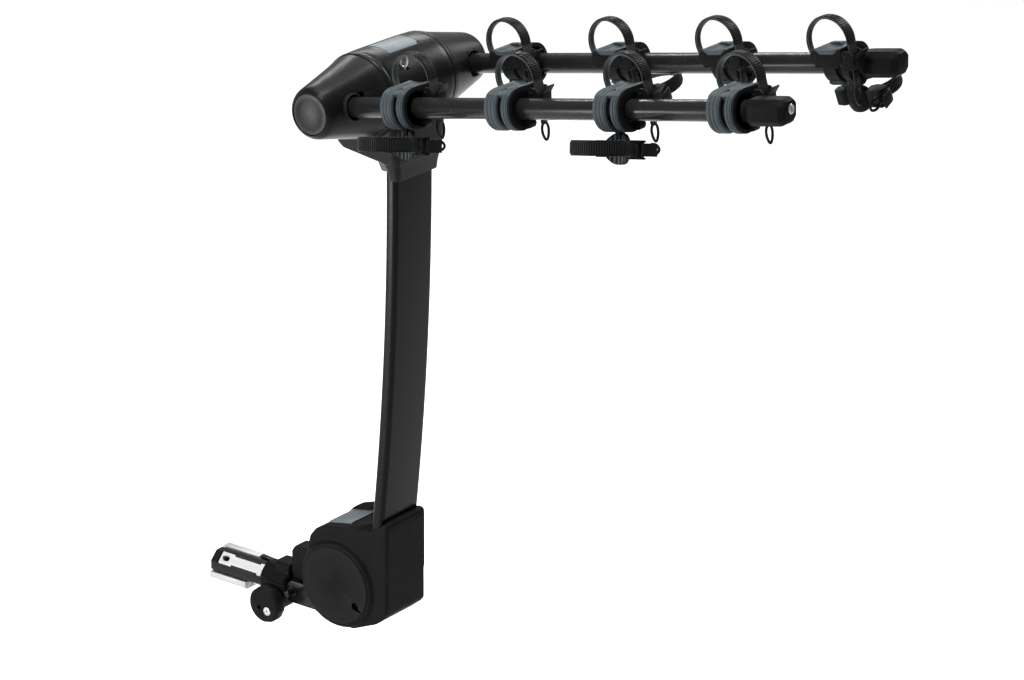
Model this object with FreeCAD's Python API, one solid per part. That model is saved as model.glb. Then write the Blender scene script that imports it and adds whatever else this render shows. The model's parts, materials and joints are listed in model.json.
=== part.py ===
import FreeCAD, Part

import math
import os

# A hitch-mounted bicycle rack.  Millimetres.
# Origin: the detent pin's station on the shank's axis.  +Y points forward, into the vehicle's
# receiver.  +X is to the right seen from behind the vehicle.  +Z is up.  The arms reach to -Y.

V = FreeCAD.Vector
X_DIR = V(1, 0, 0)
Y_DIR = V(0, 1, 0)
Z_DIR = V(0, 0, 1)

# ---- driving dimensions -------------------------------------------------------------------
GAP = 0.3                    # clearance between pieces that move past each other
FIT = 0.05                   # radial clearance of a running shaft

SHANK_SIZE = 31.75           # 1 1/4 in square tube
SHANK_WALL = 4.0
SHANK_CHAMFER = 13.5         # the flat that carries the expander plate
SHANK_CORNER = 5.0           # the other three corners
SHANK_TIP_Y = 25.0
SHANK_END_Y = -212.0

SHIM_FRONT_Y = 27.4
SHIM_BACK_Y = -43.5
SHIM_SIDE_THICK = 19.05      # fills a 2 in receiver sideways
SHIM_BOTTOM_THICK = 12.7

EXPANDER_TRAVEL = 4.0
EXPANDER_HEAD = 19.0
EXPANDER_NECK = 14.0
EXPANDER_THICK = 2.6
EXPANDER_FRONT_Y = 8.9
DETENT_R = 3.5

COLLAR_FRONT_Y = -80.0
COLLAR_BACK_Y = -128.0
COLLAR_R = 26.5
KNOB_Y = -104.0
KNOB_Z = -26.0
KNOB_FACE_X = -46.0
KNOB_BACK_X = -25.0
KNOB_R = 26.5
KNOB_SCREW_R = 5.0
KNOB_LOCK_R = 6.8
LOCK_Y = KNOB_Y - 7.2
LOCK_Z = KNOB_Z - 7.8
SHIM_SCREW_R = 2.2
SHIM_SCREWS = ((25.0, 0.0), (-1.5, -21.5))   # (x, z) of the screw in each shim's rear end

PIVOT_Y = -249.0             # axis on which the mast tilts
PIVOT_Z = 48.0
PIVOT_BOLT_R = 8.0
BUSHING_R = 11.0
YOKE_PLATE = 6.0
YOKE_R = 38.0
CROSS_BOLT_Y = -143.0        # clamps the yoke to the shank
CROSS_BOLT_R = 5.0
FOOT_PLATE = 5.0
FOOT_R = 32.0

BASE_HALF = 45.0             # half width of the base housing
BASE_WALL = 3.5
BASE_CAP_R = 66.0
BASE_CAP_X = 50.0
BASE_SLOT_HALF = 24.5        # half width of the slot that clears the yoke
BASE_OUTLINE = [(-190, 20), (-191, 92), (-198, 114), (-210, 128), (-222, 134), (-262, 142), (-290, 154),
                (-312, 167), (-338, 163), (-341, 152), (-338.5, 18), (-318, 2), (-276, -17), (-224, -17),
                (-199, -4)]
TILT_LEVER_HALF = 27.0
PIN_R = 1.6                  # hinge pins of the two release levers
PIN_HALF = 36.0
TILT_PIN_Y = -224.5
TILT_PIN_Z = 130.6

MAST_WIDTH = 84.0
MAST_THICK = 20.0
MAST_WALL = 2.5
MAST_CORNER = 6.0
MAST_RADIUS = 4868.0         # the mast bows gently backwards
MAST_REAR_Y = -364.4         # rear face where the bow stands upright
MAST_UPRIGHT_Z = 732.0
MAST_FOOT_Z = 14.0
MAST_TOP_Z = 742.0

HEAD_Y = -323.5              # axis on which the arms fold
HEAD_Z = 809.5
HEAD_R = 62.0
HEAD_SEAM_X = 73.0
HEAD_WALL = 3.5
CONE_SEAM_R = 59.5
CONE_END_R = 37.0
CONE_END_X = 166.0
HEAD_END_X = 177.0
END_DISC_R = 29.5
SHAFT_R = 16.0
SHAFT_HALF = 158.0
SKIRT_LEVELS = ((688.0, 47.0, -371.5, -331.0), (724.0, 53.0, -375.0, -283.0), (772.0, 60.0, -376.0, -270.0))
SKIRT_WALL = 3.0
ARM_LEVER_HALF = 33.0
HEAD_PIN_ANGLE = 101.0
HEAD_PIN_R = 58.6
EYELET_X = -30.0             # steel eyelet for a locking cable
EYELET_Y = -370.0
EYELET_Z = 859.0
EYELET_R = 7.0
EYELET_HOLE_R = 4.0
EYELET_THICK = 3.0

ARM_X = 132.15
ARM_R = 14.3
ARM_WALL = 2.0
ARM_PITCH = 10.14            # degrees above level
ARM_LENGTH = 757.0           # head axis to the end of the cap
CAP_LENGTH = 62.0
CAP_HALF = 17.5
CAP_LOCK_R = 6.5

CRADLE_PITCH = 177.8         # 7 in between bicycles
CRADLE_FIRST = 132.0         # first cradle's centre from the head axis
CRADLE_COUNT = 4
CRADLE_R = 24.0
CRADLE_FRONT = -20.0
CRADLE_SLOT_A = 0.0
CRADLE_SLOT_B = 8.0
CRADLE_BACK = 22.0
SLEEVE_R = 20.4              # free radius inside the swivel slot
STRAP_WIDTH = 20.0
STRAP_THICK = 2.6
STRAP_R = 34.5
STRAP_IN = -28.0             # the strap's centre line, inboard of the arm
STRAP_Y = -0.5
STRAP_Z = 36.0
BUCKLE_BACK = 31.0
LEVER_HALF = 9.0             # half width of every ratchet lever
LEVER_PIN_R = 1.2
LEVER_PIN_Y = 41.5
LEVER_PIN_Z = 16.0

CAGE_TILT = 15.0             # degrees from hanging, at rest
CAGE_RING_R = 19.8
CAGE_PAD_TOP = 30.0
CAGE_PAD_END = 70.0
CAGE_PAD_R = 27.0
CAGE_STRAP_MID = 50.0
CAGE_PAD_X = 20.0             # the pad's centre of curvature, outboard of the arm
CAGE_PIN_X = 9.5
CAGE_PIN_Y = 46.6
CAGE_STRAP_R = 40.0
CAGE_STRAP_X = 39.0          # the loop's centre, outboard of the arm
CAGE_STRAP_ENDS = 13.6       # where both ends of the loop meet the frame


# ---- helpers --------------------------------------------------------------------------------
def box(x0, x1, y0, y1, z0, z1):
    return Part.makeBox(x1 - x0, y1 - y0, z1 - z0, V(x0, y0, z0))


def rod(radius, start, end):
    axis = end - start
    return Part.makeCylinder(radius, axis.Length, start, axis)


def ring(outer, inner, start, end):
    return rod(outer, start, end).cut(rod(inner, start, end))


def prism_x(points, x0, x1):
    """A flat outline in (y, z), extruded from x0 to x1."""
    corners = [V(x0, y, z) for y, z in points]
    wire = Part.makePolygon(corners + corners[:1])
    return Part.Face(wire).extrude(V(x1 - x0, 0, 0))


def prism_y(points, y0, y1):
    """A flat outline in (x, z), extruded from y0 to y1."""
    corners = [V(x, y0, z) for x, z in points]
    wire = Part.makePolygon(corners + corners[:1])
    return Part.Face(wire).extrude(V(0, y1 - y0, 0))


def chamfered_square(half, near_top, others):
    """The shank's section in (x, z): one large flat at -X +Z, three small ones."""
    return [
        (-half, half - near_top),
        (-half + near_top, half),
        (half - others, half),
        (half, half - others),
        (half, -half + others),
        (half - others, -half),
        (-half + others, -half),
        (-half, -half + others),
    ]


def rounded_rect(width, depth, radius, place):
    """A rounded rectangle wire, width along X and depth along local Y, then placed."""
    half_w = width / 2 - radius
    half_d = depth / 2 - radius
    edges = []
    centres = [(half_w, half_d, 0), (-half_w, half_d, 90), (-half_w, -half_d, 180),
               (half_w, -half_d, 270)]
    ends = []
    for cx, cy, turn in centres:
        a = math.radians(turn)
        b = math.radians(turn + 45)
        c = math.radians(turn + 90)
        first = V(cx + radius * math.cos(a), cy + radius * math.sin(a), 0)
        middle = V(cx + radius * math.cos(b), cy + radius * math.sin(b), 0)
        last = V(cx + radius * math.cos(c), cy + radius * math.sin(c), 0)
        ends.append((first, middle, last))
    for i, (first, middle, last) in enumerate(ends):
        edges.append(Part.Arc(first, middle, last).toShape())
        edges.append(Part.LineSegment(last, ends[(i + 1) % 4][0]).toShape())
    wire = Part.Wire(edges)
    wire.Placement = place
    return wire


def one_solid(shape):
    """The largest solid of a result that may carry slivers."""
    return max(shape.Solids, key=lambda s: s.Volume)


def mirrored(shape):
    return shape.mirror(V(0, 0, 0), X_DIR)


def revolve_x(points, y, z):
    """Revolve (x, r) points about the X axis that passes through (y, z)."""
    corners = [V(x, y, z + r) for x, r in points]
    wire = Part.makePolygon(corners + corners[:1])
    return Part.Face(wire).revolve(V(0, y, z), X_DIR, 360)


def export(name, shape):
    shape.exportStep(os.path.join("parts", name + ".step"))
    print(name, len(shape.Solids), shape.isValid(), round(shape.Volume / 1000.0, 2))


# ---- shank ------------------------------------------------------------------------------------
HALF = SHANK_SIZE / 2
FLAT_DISTANCE = (2 * HALF - SHANK_CHAMFER) / math.sqrt(2)
FLAT_NORMAL = V(-1, 0, 1).normalize()
FLAT_ACROSS = V(1, 0, 1).normalize()


def on_flat(y0, y1, width, low, high):
    """A block on the big flat: y0..y1 along the shank, low..high from the shank's axis."""
    corner = FLAT_NORMAL * low - FLAT_ACROSS * (width / 2)
    points = [corner, corner + FLAT_ACROSS * width]
    points.append(points[1] + FLAT_NORMAL * (high - low))
    points.append(corner + FLAT_NORMAL * (high - low))
    points = [p + Y_DIR * y0 for p in points]
    wire = Part.makePolygon(points + points[:1])
    return Part.Face(wire).extrude(Y_DIR * (y1 - y0))


def expander_outline(grow, ahead, low, high):
    """The plate's outline: a broad head at each end of a narrow neck, each ahead longer forward."""
    broad = EXPANDER_HEAD + 2 * grow
    front = on_flat(-15 - grow, EXPANDER_FRONT_Y + ahead + grow, broad, low, high)
    neck = on_flat(-68, -14, EXPANDER_NECK + 2 * grow, low, high)
    back = on_flat(COLLAR_FRONT_Y + 1 - grow, -66 + ahead + grow, broad, low, high)
    return front.fuse(neck).fuse(back)


def make_shank():
    outer = prism_y(chamfered_square(HALF, SHANK_CHAMFER, SHANK_CORNER), SHANK_END_Y, SHANK_TIP_Y)
    inner_half = HALF - SHANK_WALL
    inner = prism_y(chamfered_square(inner_half, SHANK_CHAMFER - 2, 2), SHANK_END_Y - 1, SHANK_TIP_Y - 6)
    shank = outer.cut(inner)
    seat = FLAT_DISTANCE - 1.4
    shank = shank.cut(expander_outline(GAP, EXPANDER_TRAVEL, seat, FLAT_DISTANCE + 5))
    shank = shank.cut(rod(DETENT_R + FIT, FLAT_NORMAL * 4, FLAT_NORMAL * 30))
    cross_hole = rod(CROSS_BOLT_R, V(-40, CROSS_BOLT_Y, 0), V(40, CROSS_BOLT_Y, 0))
    return one_solid(shank.cut(cross_hole))


def make_expander():
    seat = FLAT_DISTANCE - 1.1
    plate = expander_outline(0, 0, seat, seat + EXPANDER_THICK)
    slot = on_flat(-EXPANDER_TRAVEL, 0, 2 * (DETENT_R + 0.5), seat - 5, seat + 10)
    for y in (0, -EXPANDER_TRAVEL - 0.5):
        slot = slot.fuse(rod(DETENT_R + 0.5, FLAT_NORMAL * 5 + Y_DIR * y, FLAT_NORMAL * 30 + Y_DIR * y))
    return one_solid(plate.cut(slot))


def make_detent_pin():
    pin = rod(DETENT_R, FLAT_NORMAL * 6.2, FLAT_NORMAL * 16.6)
    tip = Part.makeSphere(DETENT_R, FLAT_NORMAL * 16.6)
    return one_solid(pin.fuse(tip))


def shim_screw_hole(index):
    x, z = SHIM_SCREWS[index]
    return rod(SHIM_SCREW_R, V(x, SHIM_BACK_Y - 1, z), V(x, SHIM_BACK_Y + 24, z))


def make_shim_side():
    shim = box(HALF, HALF + SHIM_SIDE_THICK, SHIM_BACK_Y, SHIM_FRONT_Y, -HALF, HALF)
    edge = prism_y([(HALF + SHIM_SIDE_THICK - 5, HALF), (HALF + SHIM_SIDE_THICK, HALF),
                    (HALF + SHIM_SIDE_THICK, HALF - 5)], SHIM_BACK_Y, SHIM_FRONT_Y)
    return shim.cut(edge).cut(shim_screw_hole(0))


def make_shim_bottom():
    low = -HALF - SHIM_BOTTOM_THICK
    shim = box(-HALF, HALF, SHIM_BACK_Y, SHIM_FRONT_Y, low, -HALF)
    edge = prism_y([(-HALF, low), (-HALF + 4.5, low), (-HALF, low + 4)], SHIM_BACK_Y, SHIM_FRONT_Y)
    return shim.cut(edge).cut(shim_screw_hole(1))


def make_shim_screws():
    """Cap screws that hold the two shims, one in each shim's rear end."""
    solids = []
    for x, z in SHIM_SCREWS:
        solids.append(rod(SHIM_SCREW_R, V(x, SHIM_BACK_Y + 1, z), V(x, SHIM_BACK_Y + 23, z)))
    return Part.Compound(solids)


def make_shim_tether():
    """A flexible arm that keeps the side shim with the rack."""
    top = HALF
    outline = [(SHIM_BACK_Y, top - 1), (SHIM_BACK_Y, top - 5), (-72, 8), (COLLAR_FRONT_Y, 8),
               (COLLAR_FRONT_Y, 13), (-70, 13)]
    return prism_x(outline, 21.0, 29.0)


def make_collar():
    y0 = COLLAR_BACK_Y
    y1 = COLLAR_FRONT_Y
    body = rod(COLLAR_R, V(0, y0, 0), V(0, y1, 0))
    ear = box(18, 31, y0 + 8, y1, 4, 17)
    saddle = box(-16, 16, y0 - 1.5, y0 + 26, 18, 35)
    saddle = saddle.makeFillet(6, [e for e in saddle.Edges if abs(e.tangentAt(0).x) > 0.9
                                   and e.CenterOfMass.z > 30])
    boss = rod(15, V(KNOB_BACK_X + GAP, KNOB_Y, KNOB_Z), V(18, KNOB_Y, KNOB_Z))
    collar = body.fuse(saddle).fuse(boss).fuse(ear)
    section = chamfered_square(HALF, SHANK_CHAMFER, SHANK_CORNER)
    collar = collar.cut(prism_y(section, y0 - 10, y1 + 10))
    collar = collar.cut(on_flat(y0, y1 + 10, EXPANDER_HEAD + 1, 10, FLAT_DISTANCE + 2.6))
    collar = collar.cut(box(-40, KNOB_BACK_X + GAP, y0 - 5, y1 + 5, -60, 60))
    collar = collar.cut(rod(KNOB_SCREW_R + FIT, V(-40, KNOB_Y, KNOB_Z), V(14, KNOB_Y, KNOB_Z)))
    return one_solid(collar)


def make_knob():
    rim = 4.5
    face = KNOB_FACE_X
    profile = [(face, 0), (face, KNOB_R - rim), (face + rim, KNOB_R), (KNOB_BACK_X - 3, KNOB_R),
               (KNOB_BACK_X, KNOB_R - 4), (KNOB_BACK_X, 0)]
    knob = revolve_x(profile, KNOB_Y, KNOB_Z)
    for i in range(6):
        angle = math.radians(60 * i + 30)
        cy = KNOB_Y + (KNOB_R + 5.5) * math.cos(angle)
        cz = KNOB_Z + (KNOB_R + 5.5) * math.sin(angle)
        knob = knob.cut(rod(8, V(face - 1, cy, cz), V(KNOB_BACK_X + 1, cy, cz)))
    knob = knob.cut(rod(KNOB_LOCK_R + FIT, V(face - 1, LOCK_Y, LOCK_Z), V(face + 14, LOCK_Y, LOCK_Z)))
    dimple_y = KNOB_Y + 8.1
    dimple_z = KNOB_Z - 5.3
    knob = knob.cut(rod(3.6, V(face - 1, dimple_y, dimple_z), V(face + 6, dimple_y, dimple_z)))
    return one_solid(knob.cut(rod(KNOB_SCREW_R, V(KNOB_BACK_X - 5, KNOB_Y, KNOB_Z), V(0, KNOB_Y, KNOB_Z))))


def make_knob_screw():
    return rod(KNOB_SCREW_R, V(KNOB_BACK_X - 5, KNOB_Y, KNOB_Z), V(13, KNOB_Y, KNOB_Z))


def make_knob_lock():
    start = V(KNOB_FACE_X - 0.8, LOCK_Y, LOCK_Z)
    barrel = rod(KNOB_LOCK_R, start, V(KNOB_FACE_X + 13, LOCK_Y, LOCK_Z))
    keyway = box(KNOB_FACE_X - 2, KNOB_FACE_X + 5, LOCK_Y - 0.7, LOCK_Y + 0.7, LOCK_Z - 3.4, LOCK_Z + 3.4)
    return barrel.cut(keyway)


# ---- yoke and pivot -----------------------------------------------------------------------------
def make_yoke():
    outline = [(-131, -20), (-131, 8), (-138, 15), (-165, 15), (-205, 66), (PIVOT_Y, PIVOT_Z + YOKE_R),
               (PIVOT_Y, PIVOT_Z - YOKE_R), (-225, -6), (-205, -20)]
    plates = []
    for side in (-1, 1):
        x0, x1 = sorted((side * HALF, side * (HALF + YOKE_PLATE)))
        plate = prism_x(outline, x0, x1)
        disc = rod(YOKE_R, V(x0, PIVOT_Y, PIVOT_Z), V(x1, PIVOT_Y, PIVOT_Z))
        plates.append(plate.fuse(disc))
    web = box(-HALF, HALF, -222, SHANK_END_Y, -HALF, HALF)
    yoke = plates[0].fuse(plates[1]).fuse(web)
    yoke = yoke.cut(rod(PIVOT_BOLT_R, V(-60, PIVOT_Y, PIVOT_Z), V(60, PIVOT_Y, PIVOT_Z)))
    yoke = yoke.cut(rod(CROSS_BOLT_R, V(-40, CROSS_BOLT_Y, 0), V(40, CROSS_BOLT_Y, 0)))
    return one_solid(yoke)


def make_yoke_nose():
    outline = [(-133, 18), (-130, 34), (-130, 66), (-140, 77), (-176, 77), (-186, 66), (-190, 40), (-172, 18)]
    nose = prism_x(outline, -14, 14)
    edges = [e for e in nose.Edges if abs(e.tangentAt(0).x) < 0.1 and e.CenterOfMass.z > 25]
    return nose.makeFillet(3.5, edges)


def make_yoke_bolts():
    """The pivot bolt that the mast tilts on, and the cross bolt that clamps the yoke to the shank."""
    pivot = rod(PIVOT_BOLT_R, V(-36, PIVOT_Y, PIVOT_Z), V(38, PIVOT_Y, PIVOT_Z))
    pivot_head = rod(12, V(-39, PIVOT_Y, PIVOT_Z), V(-34.5, PIVOT_Y, PIVOT_Z))
    cross = rod(CROSS_BOLT_R, V(-31, CROSS_BOLT_Y, 0), V(29, CROSS_BOLT_Y, 0))
    cross_head = rod(7, V(-HALF - YOKE_PLATE - 3, CROSS_BOLT_Y, 0), V(-HALF - YOKE_PLATE, CROSS_BOLT_Y, 0))
    return Part.Compound([pivot.fuse(pivot_head), cross.fuse(cross_head)])


def hexagon_x(across, x0, x1, y, z):
    radius = across / math.sqrt(3)
    points = [(y + radius * math.cos(math.radians(60 * i)), z + radius * math.sin(math.radians(60 * i)))
              for i in range(6)]
    return prism_x(points, x0, x1)


def make_nuts():
    """The lock nuts of the pivot bolt and the cross bolt."""
    pivot_nut = hexagon_x(24, 34.5, 38, PIVOT_Y, PIVOT_Z)
    pivot_nut = pivot_nut.cut(rod(PIVOT_BOLT_R, V(30, PIVOT_Y, PIVOT_Z), V(40, PIVOT_Y, PIVOT_Z)))
    cross_nut = hexagon_x(15, HALF + YOKE_PLATE, HALF + YOKE_PLATE + 6, CROSS_BOLT_Y, 0)
    cross_nut = cross_nut.cut(rod(CROSS_BOLT_R, V(0, CROSS_BOLT_Y, 0), V(40, CROSS_BOLT_Y, 0)))
    return Part.Compound([pivot_nut, cross_nut])


# ---- mast -----------------------------------------------------------------------------------------
def mast_y(z):
    """The mast's centre line: a shallow circular bow."""
    drop = MAST_UPRIGHT_Z - z
    return MAST_REAR_Y + MAST_THICK / 2 + MAST_RADIUS - math.sqrt(MAST_RADIUS ** 2 - drop ** 2)


def mast_solid(width, depth, corner, z0, z1):
    middle = (z0 + z1) / 2
    path = Part.Arc(V(0, mast_y(z0), z0), V(0, mast_y(middle), middle), V(0, mast_y(z1), z1)).toShape()
    slope = path.tangentAt(path.FirstParameter)
    turn = FreeCAD.Rotation(Z_DIR, slope)
    section = rounded_rect(width, depth, corner, FreeCAD.Placement(V(0, mast_y(z0), z0), turn))
    return Part.Wire([path]).makePipeShell([section], True, True)


def make_mast():
    outer = mast_solid(MAST_WIDTH, MAST_THICK, MAST_CORNER, MAST_FOOT_Z, MAST_TOP_Z)
    inner = mast_solid(MAST_WIDTH - 2 * MAST_WALL, MAST_THICK - 2 * MAST_WALL, MAST_CORNER - MAST_WALL,
                       MAST_FOOT_Z - 5, MAST_TOP_Z + 5)
    return one_solid(outer.cut(inner))


def make_mast_foot(mast_outer):
    outline = [(PIVOT_Y, PIVOT_Z + FOOT_R), (PIVOT_Y - 50, PIVOT_Z + 78), (-318, PIVOT_Z + 78), (-312, 20),
               (-285, 6), (PIVOT_Y, PIVOT_Z - FOOT_R)]
    plates = []
    for side in (-1, 1):
        x0, x1 = sorted((side * 26.0, side * (26.0 + FOOT_PLATE)))
        plate = prism_x(outline, x0, x1)
        disc = rod(FOOT_R, V(x0, PIVOT_Y, PIVOT_Z), V(x1, PIVOT_Y, PIVOT_Z))
        plates.append(plate.fuse(disc))
    web = box(-31, 31, -302, -296, 40, 110)
    foot = plates[0].fuse(plates[1]).fuse(web)
    foot = foot.cut(rod(BUSHING_R, V(-60, PIVOT_Y, PIVOT_Z), V(60, PIVOT_Y, PIVOT_Z)))
    foot = foot.cut(mast_outer)
    return one_solid(foot)


def make_pivot_bushings():
    solids = []
    for side in (-1, 1):
        x0, x1 = sorted((side * 22.5, side * 34.0))
        solids.append(ring(BUSHING_R, PIVOT_BOLT_R + FIT, V(x0, PIVOT_Y, PIVOT_Z), V(x1, PIVOT_Y, PIVOT_Z)))
    return Part.Compound(solids)


def inset(points, amount):
    """Move each point of a convex-like outline towards the outline's middle."""
    cy = sum(p[0] for p in points) / len(points)
    cz = sum(p[1] for p in points) / len(points)
    result = []
    for y, z in points:
        away = math.hypot(y - cy, z - cz)
        scale = (away - amount) / away
        result.append((cy + (y - cy) * scale, cz + (z - cz) * scale))
    return result


def tilt_pin():
    return rod(PIN_R, V(-PIN_HALF, TILT_PIN_Y, TILT_PIN_Z), V(PIN_HALF, TILT_PIN_Y, TILT_PIN_Z))


def make_base_housing(mast_outer):
    outer = prism_x(BASE_OUTLINE, -BASE_HALF, BASE_HALF)
    inner = prism_x(inset(BASE_OUTLINE, BASE_WALL + 0.5), -BASE_HALF + BASE_WALL, BASE_HALF - BASE_WALL)
    shell = outer.cut(inner)
    slot = box(-BASE_SLOT_HALF, BASE_SLOT_HALF, -292, -150, -60, 88)
    shell = shell.cut(slot)
    for side in (-1, 1):
        shell = shell.cut(rod(58, V(side * 40, PIVOT_Y, PIVOT_Z), V(side * 60, PIVOT_Y, PIVOT_Z)))
    shell = shell.cut(mast_outer)
    hatch = box(-27.4, 27.4, -263.4, -218.8, 120, 160)
    pin = tilt_pin()
    return one_solid(shell.cut(hatch).cut(pin))


def make_base_caps():
    """The two round covers over the pivot bolt's ends."""
    solids = []
    for side in (-1, 1):
        disc = rod(BASE_CAP_R, V(side * BASE_HALF, PIVOT_Y, PIVOT_Z), V(side * BASE_CAP_X, PIVOT_Y, PIVOT_Z))
        rim = [e for e in disc.Edges if abs(e.BoundBox.XMin - side * BASE_CAP_X) < 0.1
               and e.BoundBox.XLength < 0.1]
        disc = disc.makeFillet(3, rim)
        spigot = rod(57.7, V(side * 42.3, PIVOT_Y, PIVOT_Z), V(side * BASE_HALF, PIVOT_Y, PIVOT_Z))
        hook_y = PIVOT_Y - 47
        hook_z = PIVOT_Z - 29
        lock_hole = rod(6.5, V(side * 30, hook_y, hook_z), V(side * 60, hook_y, hook_z))
        solids.append(disc.fuse(spigot).cut(lock_hole))
    return Part.Compound(solids)


def make_cover_screws():
    """Screws that hold the head covers and the base caps."""
    solids = []
    for side in (-1, 1):
        for angle in (60, 180, 300):
            y = PIVOT_Y + 44 * math.cos(math.radians(angle))
            z = PIVOT_Z + 44 * math.sin(math.radians(angle))
            solids.append(rod(2.2, V(side * 33, y, z), V(side * 40.9, y, z)))
    return Part.Compound(solids)


def make_tilt_lever():
    outline = [(-221, 128.5), (-221, 134.4), (-263, 142.6), (-263, 137.4), (-230, 131), (-228, 127.5),
               (-223, 127.5)]
    lever = prism_x(outline, -TILT_LEVER_HALF, TILT_LEVER_HALF)
    return lever.cut(rod(PIN_R + FIT, V(-40, TILT_PIN_Y, TILT_PIN_Z), V(40, TILT_PIN_Y, TILT_PIN_Z)))


def head_place(radius, degrees, x=0.0):
    """A point about the head's axis; 0 degrees points back (-Y), 90 degrees up."""
    a = math.radians(degrees)
    return V(x, HEAD_Y - radius * math.cos(a), HEAD_Z + radius * math.sin(a))


def head_pin():
    return rod(PIN_R, head_place(HEAD_PIN_R, HEAD_PIN_ANGLE, -42), head_place(HEAD_PIN_R, HEAD_PIN_ANGLE, 42))


def make_lever_pins():
    """The hinge pins of the two release levers."""
    tilt = tilt_pin()
    head = head_pin()
    return Part.Compound([tilt, head])


# ---- head -----------------------------------------------------------------------------------------
def head_sector(outer, inner, half, start, end):
    """A curved plate about the head's axis, from start to end degrees."""
    tube = ring(outer, inner, V(-half, HEAD_Y, HEAD_Z), V(half, HEAD_Y, HEAD_Z))
    middle = (start + end) / 2
    corners = [V(-half, HEAD_Y, HEAD_Z)]
    for angle in (start, middle, end):
        corners.append(head_place(outer * 1.6, angle, -half))
    wedge = Part.Face(Part.makePolygon(corners + corners[:1])).extrude(V(2 * half, 0, 0))
    return tube.common(wedge)


def collar_loft(grow, top_z):
    """The skirt between the mast and the barrel; grow is negative for its inside."""
    wires = []
    for z, half, back, front in SKIRT_LEVELS:
        corners = [V(-half - grow, back - grow, z), V(half + grow, back - grow, z),
                   V(half + grow, front + grow, z), V(-half - grow, front + grow, z)]
        wires.append(Part.makePolygon(corners + corners[:1]))
    solid = Part.makeLoft(wires, True, True)
    z, half, back, front = SKIRT_LEVELS[-1]
    if top_z > z:
        lid = box(-half - grow, half + grow, back - grow, front + grow, z - 1, top_z)
        solid = solid.fuse(lid)
    return solid


def make_head_collar(mast_outer):
    floor_top = SKIRT_LEVELS[0][0] + SKIRT_WALL
    hollow = collar_loft(-SKIRT_WALL, 0).cut(box(-90, 90, -450, -200, floor_top - 90, floor_top))
    skin = collar_loft(0, 0).cut(hollow)
    skin = skin.cut(rod(HEAD_R + 0.2, V(-80, HEAD_Y, HEAD_Z), V(80, HEAD_Y, HEAD_Z)))
    return one_solid(skin.cut(mast_outer))


def make_head_bracket(mast_outer):
    outline = [(-366, 700), (-342, 700), (-300, 775), (-366, 775)]
    parts = []
    for side in (-1, 1):
        x0, x1 = sorted((side * 42.05, side * 45.5))
        parts.append(prism_x(outline, x0, x1))
        parts.append(rod(36, V(x0, HEAD_Y, HEAD_Z), V(x1, HEAD_Y, HEAD_Z)))
        link = prism_x([(-366, 770), (-300, 770), (-292, HEAD_Z), (-355, HEAD_Z)], x0, x1)
        parts.append(link)
    hub = rod(23, V(-66, HEAD_Y, HEAD_Z), V(66, HEAD_Y, HEAD_Z))
    bracket = hub
    for part in parts:
        bracket = bracket.fuse(part)
    bracket = bracket.cut(rod(SHAFT_R + FIT, V(-90, HEAD_Y, HEAD_Z), V(90, HEAD_Y, HEAD_Z)))
    return one_solid(bracket.cut(mast_outer))


def make_head_cover(side, mast_outer, bracket):
    """Half of the barrel's fixed middle: side is +1 at the front and -1 at the rear."""
    shell = ring(HEAD_R, HEAD_R - HEAD_WALL, V(-HEAD_SEAM_X, HEAD_Y, HEAD_Z), V(HEAD_SEAM_X, HEAD_Y, HEAD_Z))
    for x in (-HEAD_SEAM_X, HEAD_SEAM_X - 3):
        shell = shell.fuse(ring(HEAD_R, 24, V(x, HEAD_Y, HEAD_Z), V(x + 3, HEAD_Y, HEAD_Z)))
    y0, y1 = sorted((HEAD_Y, HEAD_Y + side * 90))
    shell = shell.common(box(-90, 90, y0, y1, HEAD_Z - 90, HEAD_Z + 90))
    shell = shell.cut(head_sector(HEAD_R + 5, HEAD_R - 10, 33.5, 65.0, 105.4))
    pin = head_pin()
    shell = shell.cut(pin)
    shell = shell.cut(collar_loft(-SKIRT_WALL, HEAD_Z - 5))
    shell = shell.cut(mast_outer).cut(bracket)
    if side < 0:
        shell = shell.cut(box(EYELET_X - 5, EYELET_X + 5, -390, -350, 846, 872))
    return one_solid(shell)


def make_arm_lever():
    plate = head_sector(HEAD_R, HEAD_R - 3, ARM_LEVER_HALF, 66.0, 103.0)
    lug = head_sector(HEAD_R - 2.5, HEAD_PIN_R - 2.6, ARM_LEVER_HALF, 98.5, 103.0)
    lever = plate.fuse(lug)
    ends = [head_place(HEAD_PIN_R, HEAD_PIN_ANGLE, x) for x in (-50, 50)]
    pin = rod(PIN_R + FIT, ends[0], ends[1])
    return one_solid(lever.cut(pin))


def make_eyelet():
    x0 = EYELET_X - EYELET_THICK / 2
    x1 = EYELET_X + EYELET_THICK / 2
    loop = rod(EYELET_R, V(x0, EYELET_Y, EYELET_Z), V(x1, EYELET_Y, EYELET_Z))
    outline = [(EYELET_Y - EYELET_R, EYELET_Z), (EYELET_Y + EYELET_R, EYELET_Z), (-356, 849), (-366, 847.5)]
    stem = prism_x(outline, x0, x1)
    hole = rod(EYELET_HOLE_R, V(x0 - 1, EYELET_Y, EYELET_Z), V(x1 + 1, EYELET_Y, EYELET_Z))
    return loop.fuse(stem).cut(hole)


# ---- arms -----------------------------------------------------------------------------------------
PITCH = math.radians(ARM_PITCH)
ALONG = V(0, -math.cos(PITCH), math.sin(PITCH))
RISE = V(0, math.sin(PITCH), math.cos(PITCH))


def arm_frame(distance):
    """The left arm's frame: local x outboard, y along the arm to its tip, z up from the arm."""
    base = V(-ARM_X, HEAD_Y, HEAD_Z) + ALONG * distance
    matrix = FreeCAD.Matrix(-1, 0, 0, base.x,
                            0, ALONG.y, RISE.y, base.y,
                            0, ALONG.z, RISE.z, base.z,
                            0, 0, 0, 1)
    return FreeCAD.Placement(matrix)


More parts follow.
